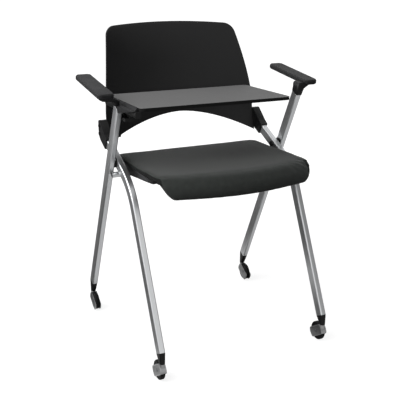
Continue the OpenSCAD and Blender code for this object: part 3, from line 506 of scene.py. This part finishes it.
def woven(name, tint, nap):
    """A woven cloth of a colour, with a nap of a given strength."""
    m = material(
        name,
        tint,
        0.85,
        spread=0.04,
        Sheen_Weight=nap,
        Sheen_Roughness=0.35,
        Specular_IOR_Level=0.05,
    )
    tree = m.node_tree
    spots = node(tree, "ShaderNodeTexCoord")
    warp = node(tree, "ShaderNodeTexWave", {"bands_direction": "X"}, **THREADS)
    weft = node(tree, "ShaderNodeTexWave", {"bands_direction": "Y"}, **THREADS)
    over = node(tree, "ShaderNodeMath", {"operation": "MAXIMUM"})
    lint = node(tree, "ShaderNodeTexNoise", Scale=90, Detail=5)
    tone = node(tree, "ShaderNodeMath", {"operation": "MULTIPLY"})
    dark = node(tree, "ShaderNodeMapRange", To_Min=0.72, To_Max=1.25)
    tinted = node(tree, "ShaderNodeMix", {"data_type": "RGBA", "blend_type": "MULTIPLY"})
    tinted.inputs["Factor"].default_value = 1
    tinted.inputs["A"].default_value = (*tint, 1)
    bump = node(tree, "ShaderNodeBump", Strength=0.6, Distance=0.0002)
    join(
        tree,
        (spots.outputs["Object"], warp.inputs["Vector"]),
        (spots.outputs["Object"], weft.inputs["Vector"]),
        (spots.outputs["Object"], lint.inputs["Vector"]),
        (warp.outputs["Fac"], over.inputs[0]),
        (weft.outputs["Fac"], over.inputs[1]),
        (over.outputs[0], tone.inputs[0]),
        (lint.outputs["Fac"], tone.inputs[1]),
        (tone.outputs[0], dark.inputs["Value"]),
        (dark.outputs["Result"], tinted.inputs["B"]),
        (tinted.outputs["Result"], tree.nodes["Principled BSDF"].inputs["Base Color"]),
        (over.outputs[0], bump.inputs["Height"]),
        (bump.outputs["Normal"], tree.nodes["Principled BSDF"].inputs["Normal"]),
    )
    return m


seat_cloth = woven("seat_cloth", (0.038, 0.0415, 0.039), 0.36)
# A darker copy of the cloth with less sheen, which paints shade on the cushion's sides.
side_cloth_painted_shade = woven("side_cloth_painted_shade", (0.013, 0.014, 0.0135), 0.05)
print("cloths:", seat_cloth.name, side_cloth_painted_shade.name)

# %% [markdown]
# The solids' names say what they are. A finish could be written beside each of the 56 names, but
# most come in twos and fours. So each solid gets the finish whose key is the longest beginning of
# its name, and "seat_hinge_screws" doesn't count as a "seat_hinge".

# %% Which solid has which finish
finish_of = {
    "rear_leg": tube_silver,
    "front_leg": tube_silver,
    "cross_rail": tube_silver,
    "seat_stop": tube_silver,
    "crossing_spacers": moulded_black,
    "crossing": screw_black,
    "leg_plug": moulded_black,
    "caster_stem": screw_steel,
    "caster_axle": hood_grey,
    "caster_hood": hood_grey,
    "wheel_hub": wheel_grey,
    "tyre": tyre_black,
    "seat_cushion": seat_cloth,
    "seat_pan": moulded_black,
    "seat_hinge_screws": screw_steel,
    "seat_hinge": moulded_black,
    "seat_bumpers": tyre_black,
    "back_shell": shell_black,
    "back_screws": screw_black,
    "back_sleeve": moulded_black,
    "arm_pad": pad_grey,
    "arm_neck": moulded_black,
    "arm_screws": screw_steel,
    "tablet_top": board_grey,
    "tablet_carrier": moulded_black,
    "tablet_hub_cap": moulded_black,
    "tablet_bracket_screws": screw_steel,
    "tablet_bracket": moulded_black,
    "tablet_screws": screw_steel,
    "tablet_pin": screw_steel,
}


def finish_for(name):
    """The finish whose key is the longest beginning of a name."""
    return finish_of[max((key for key in finish_of if name.startswith(key)), key=len)]


for name, solid in nodes.items():
    solid.data.materials.clear()
    solid.data.materials.append(finish_for(name))
print("finishes:", len(bpy.data.materials), "on", len(nodes), "solids")

# %% [markdown]
# ## Softer edges on the moulded solids
# The solids' outer edges are sharp, and nothing moulded or laminated has an edge like that. The
# rounding could be drawn in the solids too, but it is as fine as a texture, so it is done here. A
# Weld joins the solid's loose triangles, and a Bevel then rounds every edge sharper than 40
# degrees. Both stay on the piece as modifiers, so the solid's own mesh is untouched.

# %% Rounded edges
SIDES = ("left", "right")
CORNERS = ("front_left", "front_right", "rear_left", "rear_right")
EDGE_ANGLE = math.radians(40)


def rounded(name, width, segments=3):
    """Rounds a solid's sharp edges, by modifiers that stay on it."""
    solid = nodes[name]
    weld = solid.modifiers.new("weld", "WELD")
    weld.merge_threshold = 1e-6
    bevel = solid.modifiers.new("bevel", "BEVEL")
    bevel.width = width
    bevel.segments = segments
    bevel.limit_method = "ANGLE"
    bevel.angle_limit = EDGE_ANGLE


for side in SIDES:
    rounded("back_sleeve_" + side, 0.003)
    rounded("rear_leg_" + side, 0.0007, 2)
    rounded("arm_pad_" + side, 0.0012, 2)
    rounded("seat_hinge_" + side, 0.0008, 2)
rounded("tablet_top", 0.0012)
rounded("tablet_carrier", 0.0010)
rounded("tablet_bracket", 0.0010)
rounded("seat_pan", 0.0008, 2)
for corner in CORNERS:
    rounded("leg_plug_" + corner, 0.0006, 2)
    rounded("tyre_" + corner, 0.0012)
print("rounded:", [name for name in nodes if nodes[name].modifiers])

# %% [markdown]
# ## Shaping by hand, in code
# The finer pieces are modelled as they would be at the screen: a primitive is opened for editing,
# some of its faces are chosen, and an operator acts on them. A mouse would pick the faces. In code
# they are picked by a test of their place, or of the way they look.

# %% Opening and choosing
def edit(o):
    """Opens an object for editing by faces, with none of them chosen."""
    pick(o)
    bpy.ops.object.mode_set(mode="EDIT")
    bpy.ops.mesh.select_mode(type="FACE")
    bpy.ops.mesh.select_all(action="DESELECT")


def done():
    """Ends the editing."""
    bpy.ops.object.mode_set(mode="OBJECT")


def choose(o, test):
    """In edit mode, selects the faces that the test is true for."""
    mesh = bmesh.from_edit_mesh(o.data)
    for f in mesh.faces:
        if test(f):
            f.select_set(True)
    mesh.select_flush_mode()
    bmesh.update_edit_mesh(o.data)


def middle(f):
    """The middle of a face, in edit mode."""
    total = Vector((0, 0, 0))
    for v in f.verts:
        total += v.co
    return total / len(f.verts)


print("to edit:", [f.__name__ for f in (edit, done, choose, middle)])

# %% [markdown]
# Modifiers could stay live on a piece and be changed later. Here each is applied at once, so that
# the piece ends as one plain mesh and every next step sees its real faces. The last steps are alike
# for all: sharp edges are bevelled, faces are turned outwards, and the shading is made smooth
# between the edges.

# %% Modifiers and shading
def apply(o, kind, **settings):
    """Adds one modifier and applies it."""
    pick(o)
    m = o.modifiers.new(kind.lower(), kind)
    for key, value in settings.items():
        setattr(m, key, value)
    bpy.ops.object.modifier_apply(modifier=m.name)


def bevelled(o, width, angle, segments=2):
    """Rounds the edges where two faces meet at more than an angle in degrees."""
    limit = math.radians(angle)
    apply(o, "BEVEL", width=width, segments=segments, limit_method="ANGLE", angle_limit=limit)


def outwards(o):
    """Merges doubles and turns every face outwards."""
    edit(o)
    bpy.ops.mesh.select_all(action="SELECT")
    bpy.ops.mesh.remove_doubles(threshold=1e-6)
    bpy.ops.mesh.normals_make_consistent(inside=False)
    done()


def smooth(o, angle):
    """Shades an object smooth, except at edges sharper than an angle in degrees."""
    pick(o)
    bpy.ops.object.shade_smooth_by_angle(angle=math.radians(angle))


def faces(o):
    """A piece's name and how many faces it has, to be printed."""
    return f"{o.name}: {len(o.data.polygons)} faces"


print("to finish:", [f.__name__ for f in (apply, bevelled, outwards, smooth, faces)])

# %% [markdown]
# Two more helpers do most of the modelling. One adds a box of a given size. The other extrudes the
# chosen faces by a step and sizes them round their middle, which is what the keys E and S do at the
# screen.

# %% Boxes and pulls
def box(name, at, size, turn=(0, 0, 0)):
    """A new box, with its place, turn and size in its mesh."""
    clear()
    bpy.ops.mesh.primitive_cube_add(size=1, location=at, rotation=turn)
    o = added(name)
    o.scale = size
    return place(o)


def pull(o, test, move, scale):
    """Extrudes the chosen faces by a step, then sizes them round their own middle."""
    edit(o)
    choose(o, test)
    bpy.ops.mesh.extrude_region_move(TRANSFORM_OT_translate={"value": move})
    mesh = bmesh.from_edit_mesh(o.data)
    picked = [v.co for v in mesh.verts if v.select]
    centre = sum(picked, Vector()) / len(picked)
    bpy.ops.transform.resize(value=scale, center_override=centre)
    done()


print("to model:", [f.__name__ for f in (box, pull)])

# %% [markdown]
# ## The necks of the armrests
# A black moulded neck caps the top of each rear leg and carries the pad. It rises as a collar round
# the tube and turns outwards just under the pad. It could be sculpted, but it is a shape of few
# faces, and pulling one face on in steps keeps every step plain. A box is set on the end of the
# tube, at its lean, and its upper face is pulled up and sized four times. A bevel and one
# subdivision then round it off.

# %% Necks
TUBE_LEAN = math.radians(25.8053)
TUBE_X, TUBE_Y, TUBE_Z = 0.2435, -0.0398, 0.6204
NECK_BASE, NECK_BEVEL = (0.0166, 0.0268, 0.003), 0.0022
NECK_STEPS = (
    ((0, -0.0035, 0.008), (1.04, 1.02, 1)),
    ((0.002, 0.000, 0.006), (1.18, 1.02, 0.7)),
    ((0.009, 0.002, 0.007), (1.75, 1.06, 0.5)),
    ((0.010, 0.002, 0.006), (1.22, 1.04, 0.5)),
)


def upper_face(o):
    """A test for the face of the mesh that lies highest and looks up."""
    best = max(o.data.polygons, key=lambda f: f.center.z + 0.01 * f.normal.z).center.copy()
    return lambda f: (middle(f) - best).length < 1e-5


neck = box("neck_right", (TUBE_X, TUBE_Y, TUBE_Z), NECK_BASE, (TUBE_LEAN, 0, 0))
for move, scale in NECK_STEPS:
    pull(neck, upper_face(neck), move, scale)
bevelled(neck, NECK_BEVEL, 35)
apply(neck, "SUBSURF", levels=1, render_levels=1)
outwards(neck)
smooth(neck, 50)
neck.data.materials.append(moulded_black)
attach(neck, "frame")
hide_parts("arm_neck_right")
print(faces(neck))

# %% [markdown]
# The left neck is lower, because the wing beside the tablet covers the tube there. A mirrored copy
# of the right one would be too tall for that, so this one is modelled by itself. It is a block
# under the front of the pad, pulled inwards twice to meet the wing, and its inner part is then
# pulled down.

# %% Left neck
INNER_PART = -0.257


def inner_face(f):
    return f.normal.x > 0.9


def inner_underside(f):
    return f.normal.z < -0.9 and middle(f).x > INNER_PART


left_neck = box("neck_left", (-0.2755, -0.0385, 0.6395), (0.019, 0.030, 0.010))
pull(left_neck, inner_face, (0.011, 0, -0.003), (1, 0.96, 1.0))
pull(left_neck, inner_face, (0.012, 0, -0.006), (1, 0.9, 0.9))
pull(left_neck, inner_underside, (0, 0.001, -0.009), (0.9, 0.9, 1))
bevelled(left_neck, NECK_BEVEL, 35)
apply(left_neck, "SUBSURF", levels=1, render_levels=1)
outwards(left_neck)
smooth(left_neck, 50)
left_neck.data.materials.append(moulded_black)
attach(left_neck, "frame")
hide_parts("arm_neck_left")
print(faces(left_neck))

# %% [markdown]
# ## The wing beside the tablet
# A grey moulded wing runs from the left pad over the top of the tube and along the tablet's left
# edge, and fades out at the tablet's front corner. It stays with the frame when the tablet turns
# up. It could be swept along a curve, but its underside has a step where the tube ends, and slices
# can be cut exactly there. So it is a long box, cut with bisect, whose slices are given their own
# width, top and bottom. The lower outer edge has the metal of the tube, for the thin bright line
# that the photograph shows there.

# %% Wing
WING_FRONT, WING_BEND, WING_BACK, WING_Z = -0.124, -0.052, 0.012, 0.62
WING_CUTS = (-0.11, -0.09, -0.07, -0.0535, -0.0515, -0.04, -0.0275, -0.012, 0)
WING_INNER, WING_OUTER, WING_TAPER = -0.2364, -0.2512, 0.0128
TOP_Z, TOP_RISE, TOP_FALL = 0.6232, 0.009, 0.0012
FRONT_LOW_Z, FRONT_LOW_RISE = 0.6070, 0.0130
STEP_Y, STEP_BACK, TUBE_BACK = -0.0525, -0.0515, -0.0275
BACK_LOW_Z, TUBE_RISE, BACK_RISE = 0.6160, 0.0112, 0.002
METAL_X, METAL_Y = -0.2496, -0.0545


def share_of(value, low, high):
    """How far a value has come from one limit to the other, from 0 to 1."""
    return max(0, min(1, (value - low) / (high - low)))


def sliced(o, places):
    """Cuts an object across Y at each of these places."""
    for y in places:
        edit(o)
        bpy.ops.mesh.select_all(action="SELECT")
        bpy.ops.mesh.bisect(plane_co=(0, y, 0), plane_no=(0, 1, 0))
        done()


wing_length = WING_BACK - WING_FRONT
wing = box("wing", (0, (WING_FRONT + WING_BACK) / 2, WING_Z), (0.02, wing_length, 0.02))
sliced(wing, WING_CUTS)
for v in wing.data.vertices:
    y = v.co.y
    forward = share_of(-y, -WING_BEND, -WING_FRONT)
    v.co.x = WING_INNER if v.co.x > 0 else WING_OUTER + WING_TAPER * forward
    if v.co.z > WING_Z:
        v.co.z = TOP_Z + TOP_RISE * share_of(y, WING_BEND, WING_BACK) - TOP_FALL * forward
    elif y < STEP_Y:
        v.co.z = FRONT_LOW_Z + FRONT_LOW_RISE * forward
    else:
        over_tube = share_of(y, STEP_BACK, TUBE_BACK)
        behind = share_of(y, TUBE_BACK, WING_BACK)
        v.co.z = BACK_LOW_Z + TUBE_RISE * over_tube + BACK_RISE * behind
outwards(wing)
bevelled(wing, 0.0014, 40, 3)
smooth(wing, 45)
wing.data.materials.append(pad_grey)
wing.data.materials.append(tube_silver)
for f in wing.data.polygons:
    if f.center.x < METAL_X and f.normal.z < -0.05 and f.center.y > METAL_Y:
        f.material_index = 1
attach(wing, "frame")
print(faces(wing))

# %% [markdown]
# A grey lip is moulded along the tablet's left edge and turns with it. It slopes down from the
# laminate to the joint with the wing, and stays inside the circle that the corner of the tablet
# needs as it turns about its hinge. A bevel along the board could make the slope, but the lip is a
# piece of its own colour, so it is a thin box whose upper left edge is moved in.

# %% Lip
LIP_X, LIP_Y, LIP_Z = -0.2290, -0.019, 0.6236
LIP_SIZE, LIP_SLOPE = (0.0092, 0.198, 0.0072), 0.0052
lip = box("lip", (LIP_X, LIP_Y, LIP_Z), LIP_SIZE)
for v in lip.data.vertices:
    if v.co.z > LIP_Z and v.co.x < LIP_X:
        v.co.x += LIP_SLOPE
outwards(lip)
bevelled(lip, 0.0008, 30)
smooth(lip, 40)
lip.data.materials.append(pad_grey)
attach(lip, "tablet")
print(faces(lip))

# %% [markdown]
# ## The back
# The back is one moulded shell, hollow between its sides, leaning back as it rises and curling
# forward into two wings beside the sleeves. Its lower edge is a wide arch. It could be cut out of a
# block with Booleans, but their uneven faces would show in the gloss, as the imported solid's do. A
# flat grid of even faces is bent to the surface instead, pulled into a wall, and given a rolled
# edge.

# %% The back's surface
BACK_TOP, BACK_LOW, ARCH, ARCH_FALL = 0.792, 0.573, 0.559, 0.062
HALF_TOP, HALF_LOW, WALL = 0.184, 0.214, 0.006
TOP_CORNER, TOP_DROP, RISE_SHORT = 0.021, 0.0085, 0.014
BACK_Y, LEAN_BACK, TUCK_IN, BOW = 0.144, 0.066, 0.016, 0.021
ARCH_CURVE, SIDE_CURVE, LEAN_CURVE, TUCK_CURVE = 1.75, 1.35, 1.6, 1.8


def back_point(u, share):
    """A point of the rear face, at a share of the half width and a share of the height."""
    over = max(0, abs(u) * HALF_TOP - HALF_TOP + TOP_CORNER)
    top = BACK_TOP - TOP_DROP * u * u - TOP_CORNER + math.sqrt(TOP_CORNER**2 - over**2)
    low = ARCH - ARCH_FALL * abs(u) ** ARCH_CURVE
    z = low + (top - low) * share
    rise = max(0, (z - BACK_LOW) / (BACK_TOP - RISE_SHORT - BACK_LOW))
    fall = max(0, (BACK_LOW - z) / (BACK_LOW - ARCH + ARCH_FALL))
    half = HALF_LOW - (HALF_LOW - HALF_TOP) * rise**SIDE_CURVE
    lean = LEAN_BACK * rise**LEAN_CURVE
    y = BACK_Y + lean - TUCK_IN * fall**TUCK_CURVE + BOW * (1 - u * u)
    return Vector((u * half, y, z))


clear()
bpy.ops.mesh.primitive_grid_add(x_subdivisions=56, y_subdivisions=30, size=2, location=(0, 0, 0))
back = added("back")
for v in back.data.vertices:
    v.co = back_point(math.sin(v.co.x * math.pi / 2), (v.co.y + 1) / 2)
edit(back)
bpy.ops.mesh.select_all(action="SELECT")
bpy.ops.mesh.extrude_region_move(TRANSFORM_OT_translate={"value": (0, -WALL, 0)})
done()
outwards(back)
bevelled(back, 0.0025, 50, 4)
smooth(back, 50)
back.data.materials.append(shell_black)
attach(back, "frame")
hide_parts("back_shell")
print(faces(back))

# %% [markdown]
# ## The seat cushion
# The cushion is foam under a tight cloth, thin and flat, with firm edges, and it rolls over at the
# front. It could be modelled by hand, but a cover that is blown up a little finds its own shape. It
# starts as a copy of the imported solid, remade as an even net of small faces. A cloth simulation
# with a little air pressure then crowns it and rounds its edges, as foam under a cover does. How
# far any point may move is capped, and its underside may not sink, so it stays on its pan.

# %% Cushion
VOXEL, SWELL, PRESSURE, FRAMES = 0.004, 0.0025, 4, 20
UNDERSIDE_Z, ROLL_Y = 0.456, -0.12
clear()
cushion = nodes["seat_cushion"].copy()
cushion.data = nodes["seat_cushion"].data.copy()
cushion.name = "cushion"
for key in [k for k in cushion.keys() if k.startswith("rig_")]:
    del cushion[key]
bpy.context.scene.collection.objects.link(cushion)
cushion.parent = None
outwards(cushion)
apply(cushion, "REMESH", mode="VOXEL", voxel_size=VOXEL)
rest = [v.co.copy() for v in cushion.data.vertices]


def inflate(o, pressure, frames):
    """Runs the cloth for some frames, under air pressure and no weight, and applies it."""
    pick(o)
    cloth = o.modifiers.new("cloth", "CLOTH")
    cloth.settings.use_pressure = True
    cloth.settings.uniform_pressure_force = pressure
    cloth.settings.effector_weights.gravity = 0
    cloth.point_cache.frame_start = 1
    cloth.point_cache.frame_end = frames
    for f in range(1, frames + 1):
        bpy.context.scene.frame_set(f)
    bpy.ops.object.modifier_apply(modifier=cloth.name)
    bpy.context.scene.frame_set(1)


inflate(cushion, PRESSURE, FRAMES)
for v, at in zip(cushion.data.vertices, rest):
    step = v.co - at
    on_pan = at.z < UNDERSIDE_Z and at.y > ROLL_Y
    step.z = max(step.z, 0) if on_pan else step.z
    v.co = at + step * min(1, SWELL / max(step.length, 1e-9))
print("swelled:", faces(cushion))

# %% [markdown]
# The photographed cushion has squarer rear corners, a flatter top and a right front corner that
# reaches further out. At the screen, proportional editing would pull these into place. Here each
# point is moved by an amount that grows from nothing, so that no crease is left. The left front
# corner stays in, for the tablet's hinge.

# %% Corners and top
CORNER_X, CORNER_Y, CORNER_REACH, CORNER_OUT = 0.178, 0.082, 0.03, 0.009
SIDE_X, SIDE_REACH, AHEAD_Y, AHEAD_REACH = 0.12, 0.08, 0.01, 0.16
RIGHT_OUT, LEFT_OUT = 0.012, -0.001
FLAT_Z, FLATTEN = 0.470, 0.5
for v in cushion.data.vertices:
    across = max(0, min(abs(v.co.x) - CORNER_X, CORNER_REACH))
    behind = max(0, min(v.co.y - CORNER_Y, CORNER_REACH))
    square = across * behind / CORNER_REACH**2
    v.co.x += math.copysign(CORNER_OUT * square, v.co.x)
    v.co.y += CORNER_OUT * square
    aside = max(0, min((abs(v.co.x) - SIDE_X) / SIDE_REACH, 1))
    ahead = max(0, min((AHEAD_Y - v.co.y) / AHEAD_REACH, 1))
    v.co.x += aside * ahead * (RIGHT_OUT if v.co.x > 0 else LEFT_OUT)
    v.co.z -= max(0, v.co.z - FLAT_Z) * FLATTEN
apply(cushion, "SMOOTH", factor=0.5, iterations=4)
apply(cushion, "SUBSURF", levels=1, render_levels=1)
smooth(cushion, 60)
print("shaped:", faces(cushion))

# %% [markdown]
# The sides, below the top's edge, get the darker cloth, which paints shade on them. The front keeps
# the light one where it rolls over. A mask in one material could divide them by colour, but the nap
# differs too, so each set of faces has a material of its own.

# %% The cushion's two cloths
BORDER_X, BORDER_Z, BORDER_Y = 0.192, 0.4705, -0.2
cushion.data.materials.clear()
cushion.data.materials.append(seat_cloth)
cushion.data.materials.append(side_cloth_painted_shade)
# Faces on the sides, below the top's edge, get the painted shade.
for f in cushion.data.polygons:
    beside = abs(f.center.x) > BORDER_X and f.center.y > BORDER_Y
    f.material_index = 1 if beside and f.center.z < BORDER_Z else 0
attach(cushion, "seat")
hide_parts("seat_cushion")
print("cloths:", [m.name for m in cushion.data.materials])

# %% [markdown]
# ## The rim of the seat pan
# Below the cushion a black moulded tray closes each side of the seat: shallow at the front, deep
# near the cross rail. Its outline could be drawn and extruded, but a box needs only its lower edge
# changed. It is cut into steps along Y, and the lower corners are moved to the wanted height. Its
# top and its underside are then deleted, and a Solidify gives what is left a wall. The sides have a
# slot for the rail, wide enough for the seat to tip around it.

# %% Pan rim
PAN_HALF, PAN_FRONT, PAN_BACK = 0.2045, -0.145, 0.104
PAN_TOP, PAN_MIDDLE, PAN_WALL = 0.4630, 0.4560, 0.003
PAN_LOW = (
    (-0.145, 0.4560),
    (-0.1, 0.4510),
    (-0.05, 0.4465),
    (-0.01, 0.4425),
    (0.0165, 0.4405),
    (0.0168, 0.4497),
    (0.0332, 0.4497),
    (0.0335, 0.4405),
    (0.07, 0.4415),
    (0.104, 0.4445),
)
pan_size = (2 * PAN_HALF, PAN_BACK - PAN_FRONT, 2 * (PAN_TOP - PAN_MIDDLE))
rim = box("pan_rim", (0, (PAN_FRONT + PAN_BACK) / 2, PAN_MIDDLE), pan_size)
sliced(rim, [y for y, low in PAN_LOW[1:-1]])
for v in rim.data.vertices:
    if v.co.z < PAN_MIDDLE:
        v.co.z = min(PAN_LOW, key=lambda step: abs(step[0] - v.co.y))[1]
edit(rim)
choose(rim, lambda f: f.normal.z < -0.5 or f.normal.z > 0.9)
bpy.ops.mesh.delete(type="FACE")
done()
apply(rim, "SOLIDIFY", thickness=PAN_WALL, offset=-1)
outwards(rim)
bevelled(rim, 0.0008, 50)
smooth(rim, 40)
rim.data.materials.append(moulded_black)
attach(rim, "seat")
print(faces(rim))

# %% [markdown]
# ## Round pieces
# What is left to model is round: the end of the tablet's hinge and the casters. All of it starts as
# a cylinder, laid along X, Y or Z by its turn. A lathe's outline could be spun for each, but most
# of the forms are rims on a flat face, and an inset in a few steps makes those directly.

# %% Cylinders and insets
ALONG_X = (0, math.radians(90), 0)
ALONG_Y = (math.radians(90), 0, 0)
ALONG_Z = (0, 0, 0)


def drum(name, radius, depth, at=(0, 0, 0), turn=ALONG_X, steps=96):
    """A new closed cylinder, with its place and turn in its mesh."""
    clear()
    bpy.ops.mesh.primitive_cylinder_add(
        vertices=steps,
        radius=radius,
        depth=depth,
        location=at,
        rotation=turn,
    )
    return place(added(name))


def inset(o, test, steps):
    """Insets the chosen faces once for each step, which is a width and a depth."""
    for width, depth in steps:
        edit(o)
        choose(o, test)
        bpy.ops.mesh.inset(thickness=width, depth=depth)
        done()


print("for round pieces:", [f.__name__ for f in (drum, inset)])

# %% [markdown]
# ## The hinge's cap
# The round end of the tablet's hinge has a thin raised ring. A torus could be laid on it, but a
# moulded ring grows out of its own face. So a short cylinder's front face is inset four times. The
# second and the fourth inset also push it in, which leaves a ring outside and a flat round field in
# the middle.

# %% Hinge cap
HINGE_X, HINGE_Z = -0.2195, 0.61247
CAP_R, CAP_DEPTH, CAP_Y, RING_R = 0.0156, 0.0024, -0.0786, 0.0142
CAP_STEPS = ((0.0013, 0), (0.0006, -0.0007), (0.009, 0), (0.0004, -0.0004))


def cap_front(f):
    return f.normal.y < -0.9 and len(f.verts) > 4


cap = drum("hinge_cap", CAP_R, CAP_DEPTH, (HINGE_X, CAP_Y, HINGE_Z), ALONG_Y, 64)
cap.data.materials.append(moulded_black)
cap.data.materials.append(pad_grey)
inset(cap, cap_front, CAP_STEPS)
for f in cap.data.polygons:
    reach = Vector((f.center.x - HINGE_X, f.center.z - HINGE_Z)).length
    f.material_index = 1 if reach > RING_R else 0
bevelled(cap, 0.0003, 50)
outwards(cap)
smooth(cap, 40)
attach(cap, "tablet")
print(faces(cap))

# %% [markdown]
# ## Caster hoods
# A hood is a belt round the wheel, cut to a rounded band that leans down to the back. It could be
# built up from arcs, but the room for the wheel has to be round and centred on the axle, and a
# Boolean with a round tool makes sure of both. Two tools are made first. One is the room for the
# wheel, between the hood's two cheeks. The other is a wider drum, flattened to its lower back half,
# which opens the belt there.

# %% Room for the wheel
HOOD_R, HOOD_HALF, HOOD_W, HOOD_LEAN = 0.0261, 0.0135, 0.0160, math.radians(33)
WHEEL_ROOM, OPEN_R, ROOM_W = 0.0247, 0.03, 0.0132
room = drum("wheel_room", WHEEL_ROOM, ROOM_W)
back_half = drum("open_back", OPEN_R, ROOM_W)
for v in back_half.data.vertices:
    along = v.co.y * math.cos(HOOD_LEAN) - v.co.z * math.sin(HOOD_LEAN)
    if along < 0:
        v.co.y -= along * math.cos(HOOD_LEAN)
        v.co.z += along * math.sin(HOOD_LEAN)
print(faces(room), faces(back_half))

# %% [markdown]
# The hood itself is a short cylinder whose outline is drawn in towards the band. Its two cheeks are
# inset, which leaves a raised rim, and a Boolean takes each tool out of it. A small boss in front
# takes the stem. It is joined to the hood as it is, since nobody sees where they meet. The cheeks
# are grey and all the rest has the brighter metal, a painted highlight on the rims and edges.

# %% One hood
SQUARENESS, CHEEK_BELOW = 12, 0.0003
CHEEK_STEPS = ((0.0016, 0), (0.0007, -0.0005))
BOSS_R, BOSS_H, BOSS_Z, TRAIL = 0.0065, 0.0099, 0.01895, 0.0170


def cheek_face(f):
    return abs(f.normal.x) > 0.9 and len(f.verts) > 4


def cut(o, tool):
    """Takes the tool's shape out of an object."""
    apply(o, "BOOLEAN", operation="DIFFERENCE", solver="EXACT", object=tool)


hood = drum("hood", HOOD_R, HOOD_W)
for v in hood.data.vertices:
    across = abs(v.co.y * math.sin(HOOD_LEAN) + v.co.z * math.cos(HOOD_LEAN))
    share = (1 + (across / HOOD_HALF) ** SQUARENESS) ** (-1 / SQUARENESS)
    v.co.y *= share
    v.co.z *= share
inset(hood, cheek_face, CHEEK_STEPS)
boss = drum("boss", BOSS_R, BOSS_H, (0, -TRAIL, BOSS_Z), ALONG_Z, 32)
cut(hood, room)
cut(hood, back_half)
cut(boss, room)
pick(hood, boss)
bpy.ops.object.join()
bevelled(hood, 0.0005, 50)
outwards(hood)
smooth(hood, 40)
hood.data.materials.clear()
hood.data.materials.append(hood_grey)
hood.data.materials.append(hood_rim_painted_highlight)
# All but the cheeks get the brighter metal, a painted highlight.
for f in hood.data.polygons:
    cheek = abs(f.normal.x) > 0.9 and abs(f.center.x) < HOOD_W / 2 - CHEEK_BELOW
    f.material_index = 0 if cheek else 1
for tool in (room, back_half):
    bpy.data.objects.remove(tool)
print(faces(hood))

# %% [markdown]
# The four casters are alike, so each corner of the chair gets a copy of the one hood, with its own
# mesh. A copy could share the mesh, but then its place couldn't be moved into it. It is set on the
# middle of its axle, and the two at the back are turned round, as their casters are.

# %% A hood at each corner
for corner in CORNERS:
    piece = hood.copy()
    piece.data = hood.data.copy()
    piece.name = piece.data.name = "hood_" + corner
    bpy.context.scene.collection.objects.link(piece)
    axle = [Vector(c) for c in nodes["caster_axle_" + corner].bound_box]
    piece.location = sum(axle, Vector()) / 8
    piece.rotation_euler.z = math.pi if corner.startswith("rear") else 0
    place(piece)
    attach(piece, "caster_" + corner)
    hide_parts("caster_hood_" + corner)
bpy.data.objects.remove(hood)
print("hoods:", len(CORNERS))
